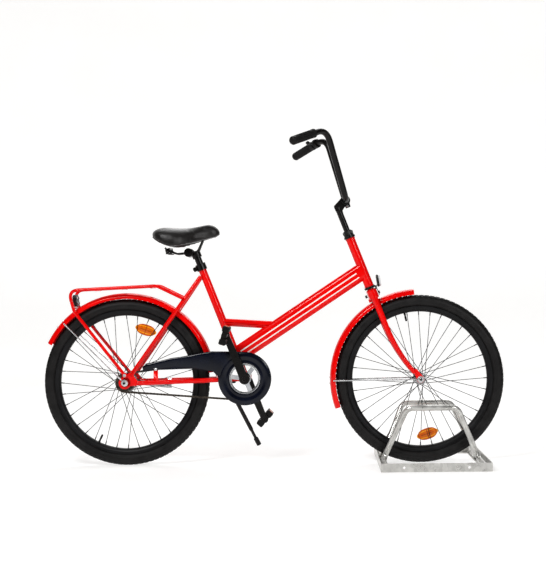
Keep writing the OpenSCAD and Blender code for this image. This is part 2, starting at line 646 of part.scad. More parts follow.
bar_corner_y = 130;
bar_end = clamp_at + [-187, bar_half, bar_rise - 56];
bar_corner = clamp_at + [-67, bar_corner_y, bar_rise];
bar_side = [clamp_at + [0, bar_foot_y, 0], bar_corner, bar_end];
grip_cap = 4;
bar_tip = mix(bar_end, bar_corner, grip_cap / norm(bar_corner - bar_end));
function flip(p) = [p[0], -p[1], p[2]];
module handlebar() color("black") {
    path = [bar_tip, bar_side[1], bar_side[0]];
    rod(bent(concat(path, [for (i = [2:-1:0]) flip(path[i])]), 52, 7), bar_d, 16);
}
module grip() {
    foot = mix(bar_end, bar_corner, grip_len / norm(bar_corner - bar_end));
    difference() {
        bar(foot, bar_end, grip_d);
        bar(mix(foot, bar_end, -0.1), bar_tip + 0.3 * unit(bar_end - bar_corner), bar_d + 2 * run);
    }
}
module grips() color("black") both_sides() grip();
bell_at = 54;      // from the bar's corner
bell_pin_y = 23;
module at_bell() along(bar_corner, bar_end) translate([0, 0, bell_at]) children();
module bell() color("black") at_bell() {
    difference() {
        cylinder(h = 14, r = 17, center = true);
        cylinder(h = 20, d = bar_d + 2 * run, center = true);
    }
    translate([0, bell_pin_y, -7]) cylinder(h = 14, r = 2);
    translate([-3, 13, -7]) cube([6, 13, 3]);
}
lever_len = 26;
module bell_lever() color("black") at_bell() translate([0, bell_pin_y, 0]) difference() {
    union() {
        translate([0, 0, -4 + near]) cylinder(h = 9, r = 4.6);
        translate([-3, 3, -4 + near]) cube([4, lever_len - 8, 9]);
        translate([-1, lever_len - 5, -4 + near]) cylinder(h = 9, r = 6);
    }
    translate([0, 0, -10]) cylinder(h = 20, r = 2 + run);
    translate([-1, lever_len - 5, -10]) cylinder(h = 20, r = 3);
}
lens_z = head_z + 27;
lens_x = head_x + 24;
module front_reflector() color("white") {
    translate([lens_x, 0, lens_z]) rotate([90, 0, 90]) linear_extrude(14) {
        square([44, 38], center = true);
        square([56, 26], center = true);
        for (u = [-1, 1], v = [-1, 1]) translate([u * 22, v * 13]) circle(r = 6);
    }
    // strap, with the bolt through the crown that holds it
    at_head() {
        translate([21, -8, crown_top - crown_h + 2]) cube([3, 16, crown_h + 20]);
        translate([22, -8, 2]) cube([8, 16, 4]);
        translate([18 + near, 0, crown_top - 15]) rotate([0, 90, 0]) cylinder(h = 10, r = 6, $fn = 6);
        translate([-28, 0, crown_top - 15]) rotate([0, 90, 0]) cylinder(h = 10 - near, r = 6, $fn = 6);
    }
}

// ---- Drive, in the crank axle's frame
guard_face = 54;
ring_pitch_r = chain_pitch / 2 / sin(180 / ring_teeth);
sprocket_pitch_r = chain_pitch / 2 / sin(180 / sprocket_teeth);
tooth_t = 2.6;
module at_bb() at_axle(bb_x, bb_z) children();
module toothed(teeth, pitch_r) polygon([for (i = [0:teeth - 1], k = [0:3])
    let (a = 360 * (i + [0.1, 0.38, 0.62, 0.9][k]) / teeth, r = pitch_r + [-4.6, 3.2, 3.2, -4.6][k])
    [r * cos(a), r * sin(a)]]);
module chainring() color("silver") at_bb() translate([0, 0, chain_y - tooth_t / 2]) linear_extrude(tooth_t) {
    difference() { toothed(ring_teeth, ring_pitch_r); circle(r = ring_pitch_r - 25); }
    for (i = [0:2]) rotate(crank_angle + 60 + 120 * i) translate([16, -8]) square([ring_pitch_r - 40 + 2, 16]);
    difference() { circle(r = 22); circle(r = spindle_d / 2 + run); }
}
module rear_sprocket() color("silver") at_rear() difference() {
    union() {
        translate([0, 0, chain_y - tooth_t / 2]) linear_extrude(tooth_t) toothed(sprocket_teeth, sprocket_pitch_r);
        translate([0, 0, rear_hub_half + near]) cylinder(h = 52 - rear_hub_half - 2 * near, r = 15);
    }
    translate([0, 0, rear_hub_half]) cylinder(h = 20, r = axle_d / 2 + run);
}
plate_gap = 3.2;
plate_t = 1;
chain_h = 9;
chain_turn = atan2(wheel_r - bb_z, rear_x - bb_x);
run_len = norm([rear_x - bb_x, wheel_r - bb_z]);
module belt(grow) hull() {
    circle(r = ring_pitch_r + grow, $fn = 72);
    translate([rear_x - bb_x, wheel_r - bb_z]) circle(r = sprocket_pitch_r + grow, $fn = 48);
}
// Two rows of link plates, with pins only where the chain runs clear of the teeth
module chain() color("dimgray") at_bb() {
    for (side = [-1, 1]) translate([0, 0, chain_y + side * (plate_gap + plate_t / 2) - plate_t / 2])
        linear_extrude(plate_t) difference() { belt(chain_h / 2); belt(-chain_h / 2); }
    for (i = [0:21], side = [-1, 1]) {
        t = 0.24 + 0.6 * i / 21;
        lean = side * (90 - asin((ring_pitch_r - sprocket_pitch_r) / run_len));
        u = chain_turn + lean;
        ring_p = ring_pitch_r * [cos(u), sin(u)];
        cog_p = [rear_x - bb_x, wheel_r - bb_z] + sprocket_pitch_r * [cos(u), sin(u)];
        p = mix(ring_p, cog_p, t);
        translate([p[0], p[1], chain_y - plate_gap - plate_t]) cylinder(h = 2 * (plate_gap + plate_t), r = 2.6, $fn = 24);
    }
}
arm_y = 62;
pedal_pin_d = 12;
crank_t = 14;
module crank_spindle() color("silver") at_bb() {
    cylinder(h = 2 * (arm_y + crank_t) - 4, d = spindle_d, center = true);
}
module crank(a, from) rotate(a) difference() {
    union() {
        translate([0, 0, arm_y]) linear_extrude(crank_t) {
            circle(r = 19);
            polygon([[0, 16], [crank_len, 11], [crank_len, -11], [0, -16]]);
            translate([crank_len, 0]) circle(r = 13.5);
        }
        translate([0, 0, from]) cylinder(h = arm_y - from + 1, r = 16);
        translate([15, -9, arm_y + 4]) rotate([-90, 0, 0]) cylinder(h = 18, r = 5);
    }
    cylinder(h = 200, d = spindle_d + 2 * run);
    translate([crank_len, 0, 0]) cylinder(h = 200, d = pedal_pin_d + 2 * run);
}
module right_crank() color("black") at_bb() crank(crank_angle, chain_y + tooth_t / 2 + near);
module left_crank() color("black") at_bb() mirror([0, 0, 1]) crank(crank_angle + 180, shell_half + 3);
pedal_in = arm_y + crank_t + 8;
pedal_body_w = pedal_w - 12;
module pedal_pin() translate([crank_len, 0, 0]) {
    translate([0, 0, arm_y + 1]) cylinder(h = pedal_in + pedal_body_w + near - arm_y, d = pedal_pin_d);
    translate([0, 0, arm_y + crank_t + near]) cylinder(h = 7, r = 9);
    translate([0, 0, pedal_in + pedal_body_w + near]) cylinder(h = 4, r = 9);
}
module pedal_spindles() color("silver") at_bb() {
    rotate(crank_angle) pedal_pin();
    mirror([0, 0, 1]) rotate(crank_angle + 180) pedal_pin();
}
// Two rubber blocks joined by end plates and a bearing tube
module pedal(tilt, side) {
    a = side > 0 ? crank_angle : crank_angle + 180;
    at_bb() translate([crank_len * cos(a), crank_len * sin(a), 0]) mirror([0, 0, side > 0 ? 0 : 1])
        rotate(tilt) difference() {
        union() {
            for (s = [-1, 1]) translate([s * (pedal_len / 2 - 11) - 11, -pedal_t / 2, pedal_in])
                cube([22, pedal_t, pedal_body_w]);
            for (z = [pedal_in, pedal_in + pedal_body_w - 5]) translate([-pedal_len / 2 + 8, -10, z])
                cube([pedal_len - 16, 20, 5]);
            translate([0, 0, pedal_in]) cylinder(h = pedal_body_w, r = 10.5);
        }
        cylinder(h = 300, d = pedal_pin_d + 2 * run);
    }
}
right_pedal_tilt = 74;
left_pedal_tilt = 47;
module right_pedal() color("black") pedal(right_pedal_tilt, 1);
module left_pedal() color("black") pedal(left_pedal_tilt, -1);
// Outline of the chain guard: a disc round the crank and an arm along the upper run of the chain
guard_h = wheel_r - bb_z;
module guard_outline() {
    circle(r = disc_r, $fn = 96);
    polygon([[0, disc_r], [-60, disc_r + 3], [-119, disc_r + 4], [-201, disc_r - 9],
        [rear_x - bb_x + 91, guard_h + 71], [rear_x - bb_x + 77, guard_h + 69], [rear_x - bb_x + 64, guard_h + 55],
        [rear_x - bb_x + 66, guard_h + 38], [rear_x - bb_x + 113, guard_h + 45], [-183, 38], [-112, 26], [-86, 0]]);
}
module chain_guard() color("midnightblue") at_bb() difference() {
    union() {
        translate([0, 0, guard_face]) linear_extrude(2) guard_outline();
        difference() {
            translate([0, 0, guard_face - 13]) linear_extrude(14) difference() {
                guard_outline();
                offset(delta = -1.8) guard_outline();
            }
            translate([rear_x - bb_x - 10, -disc_r - 10, 0]) cube([bb_x - rear_x - 40, disc_r + 53, guard_face - near]);
        }
        // lug to the frame in front of the crank
        translate([-3, disc_r - 9, shell_half]) cube([6, 6, guard_face - shell_half + 1]);
    }
    translate([0, 0, guard_face - 20]) cylinder(h = 30, r = disc_hole_r);
    translate([guard_tab[0] - bb_x, guard_tab[2] - bb_z, guard_face - 20]) cylinder(h = 30, r = 3 + run);
}
screw_r = 3;
module frame_screws() color("silver") {
    at_axle(guard_tab[0], guard_tab[2]) {
        translate([0, 0, guard_face + 2 + near]) cylinder(h = 2.5, r = 6);
        translate([0, 0, guard_face + near]) cylinder(h = 2.2, r = screw_r);
    }
    both_sides() translate([rack_foot[0], -rack_foot[1] - rack_d / 2 - near, rack_foot[2]])
        rotate([90, 0, 0]) cylinder(h = 4, r = 6, $fn = 6);
}

// ---- Seat post and saddle
seat_top = on_seat(0, 0, post_top);
module seat_post() color("black") at_seat() translate([0, 0, post_foot]) difference() {
    cylinder(h = post_top - post_foot, d = post_d);
    translate([0, 0, -1]) cylinder(h = post_top - post_foot - 4, d = post_d - 4);
}
rail_y = 21;
rail_d = 7;
rail_line = [seat_top + [68, 7, 40], seat_top + [24, rail_y, 0], seat_top + [-64, rail_y, -8],
    seat_top + [-104, 44, 15]];
clamp_pt = mix(rail_line[1], rail_line[2], 0.51) - [0, rail_y, 0];
module saddle_clamp() color("black") difference() {
    union() {
        at_seat() translate([0, 0, post_top - 22]) cylinder(h = 20, d = post_d + 9);
        translate(clamp_pt) rotate([90, 0, 0]) cylinder(h = 56, r = 13, center = true);
        translate(clamp_pt) rotate([90, 0, 0]) cylinder(h = 74, r = 5, center = true);
    }
    at_seat() cylinder(h = post_top + 30, d = post_d + 2 * run);
    both_sides() bar(rail_line[1], rail_line[2], rail_d + 2 * run);
}
module saddle_rails() color("black") both_sides() rod(bent(rail_line, 22, 3), rail_d);
saddle_tilt = 7.7;
module in_saddle() translate(seat_top + [-30, 0, 36]) rotate([0, -saddle_tilt, 0]) children();
nose = 0.37 * saddle_len;
tail = -0.63 * saddle_len;
base_t = 5;
// Plan of the saddle, grown by an amount
module saddle_plan(grow) hull() {
    for (s = [-1, 1]) translate([tail + 64, s * (saddle_w / 2 - 42)]) circle(r = 30 + grow, $fn = 32);
    translate([nose - 4, 0]) circle(r = 13 + grow, $fn = 32);
}
module saddle_base() color("black") in_saddle() translate([0, 0, -base_t - near])
    linear_extrude(base_t) saddle_plan(0);
module saddle_cushion() color("black") hull() {
    in_saddle() linear_extrude(2) saddle_plan(3);
    in_saddle() translate([0, 0, 10]) linear_extrude(8) saddle_plan(9);
    translate(seat_top) {
        for (s = [-1, 1]) translate([tail + 48, s * (saddle_w / 2 - 44), 68]) cylinder(h = 13, r1 = 42, r2 = 30);
        for (s = [-1, 1]) translate([tail + 60, s * (saddle_w / 2 - 52), 84]) cylinder(h = 4, r = 18);
        translate([nose - 50, 0, 88]) cylinder(h = 5, r = 14);
        translate([nose - 22, 0, 64]) cylinder(h = 20, r1 = 21, r2 = 14);
    }
}

stand_base();
stand_hoops();
main_beam();
head_tube();
seat_tube();
top_brace();
bottom_bracket();
chain_stays();
seat_stays();
rear_dropouts();
kickstand_bracket();
seat_clamp();
rear_rack();
frame_screws();
rear_fender();
rear_fender_stays();
rear_reflector();
chain_guard();
headset_cups();
rear_axle();
brake_arm();
chain();
crank_spindle();
chainring();
right_crank();
left_crank();
pedal_spindles();
right_pedal();
left_pedal();
rear_sprocket();
rear_tyre();
rear_rim();
rear_spokes();
rear_hub();
rear_valve();
rear_wheel_reflector();
front_tyre();
front_rim();
front_spokes();
front_hub();
front_valve();
front_wheel_reflector();
fork();
headset_nut();
stem();
handlebar();
grips();
bell();
bell_lever();
front_reflector();
front_fender();
front_fender_stays();
front_axle();
kickstand_leg();
kickstand_foot();
seat_post();
saddle_clamp();
saddle_rails();
saddle_base();
saddle_cushion();
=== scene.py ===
# %% [markdown]
# # A town bicycle in its floor stand
# The imported model gives the sizes and the places. This script gives the looks: turned tyres, laced
# spokes, a linked chain, a padded saddle, enamel, zinc, rubber and moulded plastic.

# %% Load the frame
import math

import bmesh
import bpy
from mathutils import Matrix, Vector
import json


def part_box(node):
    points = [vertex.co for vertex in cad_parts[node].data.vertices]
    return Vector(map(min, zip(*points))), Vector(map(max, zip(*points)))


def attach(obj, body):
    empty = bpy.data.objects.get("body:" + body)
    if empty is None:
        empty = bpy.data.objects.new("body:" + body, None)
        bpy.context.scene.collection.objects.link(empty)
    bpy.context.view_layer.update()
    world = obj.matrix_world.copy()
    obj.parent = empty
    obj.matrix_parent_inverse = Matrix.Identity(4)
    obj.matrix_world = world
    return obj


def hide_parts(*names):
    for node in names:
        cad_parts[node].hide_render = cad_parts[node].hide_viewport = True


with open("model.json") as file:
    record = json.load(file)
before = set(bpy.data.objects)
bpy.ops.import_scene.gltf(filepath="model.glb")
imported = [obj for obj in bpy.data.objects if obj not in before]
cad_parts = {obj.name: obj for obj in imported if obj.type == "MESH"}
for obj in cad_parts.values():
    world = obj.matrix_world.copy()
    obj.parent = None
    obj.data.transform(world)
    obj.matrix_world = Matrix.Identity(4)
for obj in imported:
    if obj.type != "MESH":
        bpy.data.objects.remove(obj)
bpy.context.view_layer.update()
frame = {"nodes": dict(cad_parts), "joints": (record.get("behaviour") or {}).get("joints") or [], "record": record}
joints = {j["name"]: j for j in frame["joints"]}
body_of_node = {n: b for b, nodes in frame["record"]["behaviour"]["bodies"].items() for n in nodes}

# %% [markdown]
# ## Camera
# A long lens at hub height, a little to the front of the bicycle and turned slightly back to it.

# %% Camera
camera = bpy.data.objects.new("camera", bpy.data.cameras.new("camera"))
bpy.context.scene.collection.objects.link(camera)
bpy.context.scene.camera = camera
camera.data.lens = 77.45
camera.data.sensor_width = 36.0
camera.data.clip_end = 60.0
eye, yaw, pitch, roll = Vector((0.1651, -4.4573, 0.6196)), 0.0357, 0.0032, -0.0148
ahead = Vector((-math.sin(yaw) * math.cos(pitch), math.cos(yaw) * math.cos(pitch), math.sin(pitch)))
level = Vector((math.cos(yaw), math.sin(yaw), 0.0))
above = level.cross(ahead)
right = math.cos(roll) * level + math.sin(roll) * above
up = math.cos(roll) * above - math.sin(roll) * level
camera.matrix_world = Matrix.Translation(eye) @ Matrix((right, up, -ahead)).transposed().to_4x4()

# %% [markdown]
# ## Places
# Everything is worked out in millimetres from the joints of the frame, and turned to metres only when a
# mesh is made. Each wheel, the crank and the steering axis has its own small set of directions.

# %% Places
MM = 0.001


def place(joint):
    return Vector(joints[joint]["pos_m"]) / MM


rear, front, crank_axle = place("rear_wheel_spin"), place("front_wheel_spin"), place("crank_spin")
head = place("steering")
steer = Vector(joints["steering"]["axis"])
seat_up = Vector(joints["seat_height"]["axis"])


def on_head(x, y, z):
    return head + x * Vector((steer.z, 0, -steer.x)) + Vector((0, y, 0)) + z * steer


def on_seat(x, y, z):
    return crank_axle + x * Vector((seat_up.z, 0, -seat_up.x)) + Vector((0, y, 0)) + z * seat_up


def round_axle(centre, radius, angle, y):
    """A point at a radius and an angle (degrees, from +X towards +Z) about a crosswise axle."""
    a = math.radians(angle)
    return centre + Vector((radius * math.cos(a), y, radius * math.sin(a)))


print("rear axle", rear, "front axle", front, "crank", crank_axle)

# %% [markdown]
# ## Mesh helpers
# Three ways to make nearly every metal piece of a bicycle: a section pushed along a bent path, a section
# turned round an axle, and a small block. Each returns points and faces, and `piece` makes the object.


# %% Bends and sweeps
def bent(points, radius, steps=10):
    """The centreline of a tube that is bent at each inner point."""
    path = [Vector(points[0])]
    for a, b, c in zip(points, points[1:], points[2:]):
        a, b, c = Vector(a), Vector(b), Vector(c)
        u, w = (a - b).normalized(), (c - b).normalized()
        half = math.acos(max(-1, min(1, u.dot(w)))) / 2
        d = min(radius / math.tan(half), 0.48 * (a - b).length, 0.48 * (c - b).length)
        for k in range(steps + 1):
            s = k / steps
            path.append((1 - s) ** 2 * (b + d * u) + 2 * s * (1 - s) * b + s * s * (b + d * w))
    return path + [Vector(points[-1])]


def sweep(path, radius, sides=24, flat=1.0, closed=False):
    """A round or flattened bar along a path; radius is one number or one for each point."""
    path = [Vector(p) for p in path]
    n = len(path)
    radii = radius if isinstance(radius, (list, tuple)) else [radius] * n
    near = (lambda i: path[i % n]) if closed else (lambda i: path[max(0, min(n - 1, i))])
    tangents = [(near(i + 1) - near(i - 1)).normalized() for i in range(n)]
    side = Vector((0.31, 0.17, 0.94)) if abs(tangents[0].y) > 0.9 or flat == 1.0 else Vector((0, 1, 0))
    verts, faces = [], []
    for p, t, r in zip(path, tangents, radii):
        side = (side - side.dot(t) * t).normalized()
        other = t.cross(side)
        for k in range(sides):
            a = 2 * math.pi * k / sides
            verts.append(p + r * (math.cos(a) * side + flat * math.sin(a) * other))
    for i in range(n if closed else n - 1):
        for k in range(sides):
            a, b = i * sides + k, i * sides + (k + 1) % sides
            c, d = (b + sides) % (n * sides), (a + sides) % (n * sides)
            faces.append((a, b, c, d))
    if not closed:
        faces += [tuple(range(sides))[::-1], tuple((n - 1) * sides + k for k in range(sides))]
    return verts, faces


# %% Skins, turned pieces, blocks and joins
def lofted(verts, n):
    """Rings of n points each, joined in their order into a skin that is closed at both ends."""
    rings = len(verts) // n
    faces = [(i * n + k, i * n + (k + 1) % n, (i + 1) * n + (k + 1) % n, (i + 1) * n + k)
             for i in range(rings - 1) for k in range(n)]
    return verts, faces + [tuple(range(n))[::-1], tuple((rings - 1) * n + k for k in range(n))]


def turned(section, centre, start=0.0, end=360.0, steps=144):
    """A closed section of (radius, y) points turned about a crosswise axle."""
    whole = abs(end - start) >= 360
    rings = steps if whole else steps + 1
    n = len(section)
    verts = [round_axle(centre, r, start + (end - start) * i / steps, y)
             for i in range(rings) for r, y in section]
    faces = []
    for i in range(steps):
        for k in range(n):
            a, b = i * n + k, i * n + (k + 1) % n
            faces.append((a, b, (b + n) % (rings * n), (a + n) % (rings * n)))
    if not whole:
        faces += [tuple(range(n))[::-1], tuple((rings - 1) * n + k for k in range(n))]
    return verts, faces


def block(corner, size, x=Vector((1, 0, 0)), y=Vector((0, 1, 0)), z=Vector((0, 0, 1))):
    """A block from its low corner, with its edges along three directions."""
    verts = [Vector(corner) + size[0] * i * x + size[1] * j * y + size[2] * k * z
             for i in (0, 1) for j in (0, 1) for k in (0, 1)]
    faces = [(0, 1, 3, 2), (4, 6, 7, 5), (0, 4, 5, 1), (2, 3, 7, 6), (0, 2, 6, 4), (1, 5, 7, 3)]
    return verts, faces


def joined(*shapes):
    verts, faces = [], []
    for points, sides in shapes:
        start = len(verts)
        verts += points
        faces += [tuple(start + k for k in f) for f in sides]
    return verts, faces


def flipped(shape):
    """The same shape on the other side of the middle plane."""
    return [Vector((p[0], -p[1], p[2])) for p in shape[0]], [tuple(reversed(f)) for f in shape[1]]


def both(shape):
    return joined(shape, flipped(shape))


# %% From a shape to an object
def raw(name, shape):
    """A mesh object in metres at the origin, with its faces turned outwards."""
    mesh = bpy.data.meshes.new(name)
    mesh.from_pydata([Vector(p) * MM for p in shape[0]], [], shape[1])
    tidy = bmesh.new()
    tidy.from_mesh(mesh)
    bmesh.ops.remove_doubles(tidy, verts=tidy.verts, dist=1e-6)
    bmesh.ops.recalc_face_normals(tidy, faces=tidy.faces)
    tidy.to_mesh(mesh)
    tidy.free()
    obj = bpy.data.objects.new(name, mesh)
    bpy.context.scene.collection.objects.link(obj)
    return obj


def dress(obj, material, body, node=None, angle=38):
    """Smooth shading up to an angle, a material, a body to ride on and the node that the piece stands for."""
    obj.data.shade_smooth()
    obj.data.set_sharp_from_angle(angle=math.radians(angle))
    obj.data.materials.clear()
    obj.data.materials.append(material)
    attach(obj, body)
    if node:
        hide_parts(node)
    return obj


def piece(name, shape, material, node, stands=True, angle=38):
    obj = raw(name, shape)
    return dress(obj, material, body_of_node[node], node if stands else None,
                 angle)


def eased(obj, width, segments=2):
    """A small rounded edge, as every cut or moulded edge has."""
    edge = obj.modifiers.new("eased_edge", "BEVEL")
    edge.width = width * MM
    edge.segments = segments
    edge.limit_method = "ANGLE"
    edge.angle_limit = math.radians(45)
    return obj


def refined(node, material, ease=0.0, angle=40):
    """A merged copy of a CAD node, shaded smoothly where it is round and eased where it is cut."""
    mesh = frame["nodes"][node].data.copy()
    tidy = bmesh.new()
    tidy.from_mesh(mesh)
    bmesh.ops.remove_doubles(tidy, verts=tidy.verts, dist=2e-6)
    bmesh.ops.dissolve_limit(tidy, angle_limit=math.radians(1), verts=tidy.verts, edges=tidy.edges)
    tidy.to_mesh(mesh)
    tidy.free()
    obj = bpy.data.objects.new(node + "_made", mesh)
    bpy.context.scene.collection.objects.link(obj)
    dress(obj, material, body_of_node[node], node, angle=angle)
    return eased(obj, ease) if ease else obj


# %% [markdown]
# ## Materials
# A finish is more than a colour. Each one starts from what the real surface is and gets a slow change of
# tone, a change of gloss and a fine relief, all sized in millimetres on object coordinates.


# %% Material helpers
def linear(hex_colour):
    """An sRGB hex colour as linear values with alpha."""
    values = [int(hex_colour[i:i + 2], 16) / 255 for i in (1, 3, 5)]
    return (*[v / 12.92 if v <= 0.04045 else ((v + 0.055) / 1.055) ** 2.4 for v in values], 1.0)


def add(tree, kind, settings=None, inputs=None):
    """A node with its settings; an input that is another node's output is linked."""
    made = tree.nodes.new(kind)
    for name, value in (settings or {}).items():
        setattr(made, name, value)
    for name, value in (inputs or {}).items():
        if isinstance(value, bpy.types.NodeSocket):
            tree.links.new(value, made.inputs[name])
        else:
            made.inputs[name].default_value = value
    return made


def finish(name, light, dark, gloss, tone_mm, grain_mm, relief_mm, metallic=0.0, pattern=None, **shader):
    """A surface: two tones, a range of roughness, and a grain with its depth."""
    material = bpy.data.materials.new(name)
    material.use_nodes = True
    tree = material.node_tree
    tree.nodes.clear()
    place_on = add(tree, "ShaderNodeTexCoord").outputs["Object"]
    tone = add(tree, "ShaderNodeTexNoise", inputs={
        "Vector": place_on, "Scale": 1000 / tone_mm, "Detail": 4.0})
    ramp = add(tree, "ShaderNodeMapRange", inputs={
        "Value": tone.outputs["Fac"], "From Min": 0.35, "From Max": 0.65})
    colour = add(tree, "ShaderNodeMix", {"data_type": "RGBA"}, {"Factor": ramp.outputs["Result"]})
    colour.inputs[6].default_value = linear(dark)
    colour.inputs[7].default_value = linear(light)
    rough = add(tree, "ShaderNodeMapRange", inputs={
        "Value": tone.outputs["Fac"], "From Min": 0.3, "From Max": 0.7,
        "To Min": gloss[0], "To Max": gloss[1]})
    grain = add(tree, "ShaderNodeTexNoise", inputs={
        "Vector": place_on, "Scale": 1000 / grain_mm, "Detail": 3.0})
    height = grain.outputs["Fac"]
    tint = colour.outputs[2]
    if pattern:
        height, tint = pattern(tree, place_on, height, tint)
    bump = add(tree, "ShaderNodeBump", inputs={"Strength": 0.6, "Distance": relief_mm * MM, "Height": height})
    surface = add(tree, "ShaderNodeBsdfPrincipled", inputs={
        "Base Color": tint, "Roughness": rough.outputs["Result"], "Normal": bump.outputs["Normal"]})
    surface.inputs["Metallic"].default_value = metallic
    for socket, value in shader.items():
        surface.inputs[socket.replace("_", " ")].default_value = value
    out = add(tree, "ShaderNodeOutputMaterial", inputs={"Surface": surface.outputs["BSDF"]})
    out.is_active_output = True
    return material


# %% [markdown]
# Stoving enamel is sprayed and baked: deep colour under a clear, slightly uneven gloss that the eye
# reads as orange peel. Powder coat on the bar and the stem is duller, with a fine pebble.

# %% Paints
enamel = finish("red_stoving_enamel", "#EC0604", "#DC0303", (0.14, 0.22), 90, 3.5, 0.05,
                Coat_Weight=0.12, Coat_Roughness=0.05, IOR=1.5, Specular_IOR_Level=0.14)
powder = finish("black_powder_coat", "#110F0E", "#070606", (0.22, 0.34), 40, 1.2, 0.05,
                IOR=1.5, Specular_IOR_Level=0.2)
line_paint = finish("white_line_paint", "#F4F2EE", "#E6E3DE", (0.3, 0.4), 30, 2.0, 0.02, IOR=1.5)

# %% [markdown]
# Hot-dip galvanising leaves flat crystals of zinc, each with its own grey, so cells of a few centimetres
# are mixed with a fine dull grain. Plated small parts are brighter and nearly even.


# %% Metals
def spangle(tree, place_on, height, tint):
    """Zinc crystals: cells of about 14 mm, each a slightly different grey."""
    cells = add(tree, "ShaderNodeTexVoronoi", inputs={
        "Vector": place_on, "Scale": 1000 / 14, "Randomness": 1.0})
    grey = add(tree, "ShaderNodeSeparateColor", inputs={"Color": cells.outputs["Color"]})
    shade = add(tree, "ShaderNodeMapRange", inputs={
        "Value": grey.outputs["Red"], "To Min": 0.86, "To Max": 1.05})
    mixed = add(tree, "ShaderNodeVectorMath", {"operation": "SCALE"}, {
        0: tint, "Scale": shade.outputs["Result"]})
    return height, mixed.outputs["Vector"]


zinc = finish("hot_dip_galvanised_steel", "#D9D8D4", "#BDBCB8", (0.24, 0.42), 35, 1.6, 0.08, 0.7, spangle)
plated = finish("zinc_plated_steel", "#E4E5E6", "#C2C4C6", (0.2, 0.32), 25, 0.8, 0.02, 0.9)
oiled = finish("oiled_chain_steel", "#5C544C", "#241F1B", (0.28, 0.5), 9, 0.9, 0.05, 0.9)
bright = finish("chromed_steel", "#DADCDE", "#B9BCC0", (0.08, 0.16), 30, 1.0, 0.01, 1.0)
rim_black = finish("black_anodised_aluminium", "#111113", "#09090A", (0.42, 0.52), 50, 0.7, 0.02,
                   Specular_IOR_Level=0.18)
spoke_steel = finish("drawn_stainless_steel", "#3A3A3C", "#28282A", (0.24, 0.36), 30, 0.6, 0.01, 1.0)

# %% [markdown]
# Tyre rubber is dull, with a bloom of dust in it. Grips and treads are softer and blacker. The chain
# guard is injection-moulded, very dark blue, with a soft sheen over a fine spark-eroded texture.

# %% Rubber and plastics
tyre_rubber = finish("tyre_rubber", "#1B1A1A", "#111010", (0.42, 0.6), 30, 1.1, 0.12, Specular_IOR_Level=0.16)
soft_rubber = finish("moulded_rubber", "#151414", "#0B0B0B", (0.46, 0.62), 18, 0.9, 0.10,
                     Specular_IOR_Level=0.18)
guard_plastic = finish("dark_blue_polypropylene", "#0B0F1D", "#060812", (0.12, 0.22), 60, 1.0, 0.03,
                       IOR=1.49, Specular_IOR_Level=0.24)
shell_plastic = finish("black_polypropylene", "#101010", "#080808", (0.42, 0.56), 40, 1.0, 0.05,
                       IOR=1.49, Specular_IOR_Level=0.35)


def prisms(tree, place_on, height, tint):
    """The cube corners on the back of a reflector: a fine check of about 2.5 mm."""
    check = add(tree, "ShaderNodeTexVoronoi", {"distance": "MANHATTAN"}, {
        "Vector": place_on, "Scale": 1000 / 2.5, "Randomness": 0.0})
    dark = add(tree, "ShaderNodeMapRange", inputs={
        "Value": check.outputs["Distance"], "From Max": 0.9, "To Min": 1.12, "To Max": 0.62})
    mixed = add(tree, "ShaderNodeVectorMath", {"operation": "SCALE"}, {
        0: tint, "Scale": dark.outputs["Result"]})
    return check.outputs["Distance"], mixed.outputs["Vector"]


amber = finish("amber_acrylic", "#F27604", "#E05A02", (0.06, 0.14), 20, 1.0, 0.3, 0.0, prisms,
               IOR=1.49, Specular_IOR_Level=0.3)
pale_amber = finish("pale_amber_acrylic", "#FFB01E", "#F59A10", (0.1, 0.2), 12, 1.0, 0.1, 0.0,
                    IOR=1.49, Specular_IOR_Level=0.3)
dark_amber = finish("dark_amber_acrylic", "#A83E02", "#8A3002", (0.1, 0.2), 12, 1.0, 0.1, 0.0,
                    IOR=1.49, Specular_IOR_Level=0.3)
ruby = finish("red_acrylic", "#C81006", "#980704", (0.06, 0.14), 20, 1.0, 0.3, 0.0, prisms,
              IOR=1.49, Specular_IOR_Level=0.4)
clear = finish("clear_acrylic", "#FBFCFC", "#E3E6E8", (0.06, 0.14), 20, 1.0, 0.3, 0.0, prisms,
               IOR=1.49, Coat_Weight=0.8)


# %% [markdown]
# The saddle's cover is embossed vinyl: a leather-like pebble of about 2 mm with soft creases, and a
# low sheen where it is rubbed.

# %% Vinyl
def pebble(tree, place_on, height, tint):
    """An embossed leather grain, 2.2 mm across, with a finer one in it."""
    cells = add(tree, "ShaderNodeTexVoronoi", {"feature": "DISTANCE_TO_EDGE"}, {
        "Vector": place_on, "Scale": 1000 / 2.2})
    crease = add(tree, "ShaderNodeMapRange", inputs={"Value": cells.outputs["Distance"], "From Max": 0.18})
    total = add(tree, "ShaderNodeMath", {"operation": "ADD"}, {0: crease.outputs["Result"], 1: height})
    return total.outputs["Value"], tint


vinyl = finish("embossed_black_vinyl", "#171413", "#0E0C0B", (0.3, 0.42), 45, 0.8, 0.12, 0.0, pebble,
               Sheen_Weight=0.05, IOR=1.5, Specular_IOR_Level=0.35)
print("materials", [m.name for m in bpy.data.materials if m.node_tree and m.name[0] != "."][:20])

# %% [markdown]
# ## Repeats with Geometry Nodes
# Two small trees repeat a shape: one round an axle, for spokes and tread, and one along a path,
# for chain links and ribs. Each is turned into a plain mesh when it is done.


# %% Tree helpers
def new_tree(name, sockets):
    tree = bpy.data.node_groups.new(name, "GeometryNodeTree")
    tree.interface.new_socket("Geometry", in_out="INPUT", socket_type="NodeSocketGeometry")
    for label, kind in sockets:
        tree.interface.new_socket(label, in_out="INPUT", socket_type=kind)
    tree.interface.new_socket("Geometry", in_out="OUTPUT", socket_type="NodeSocketGeometry")
    return tree, add(tree, "NodeGroupInput").outputs


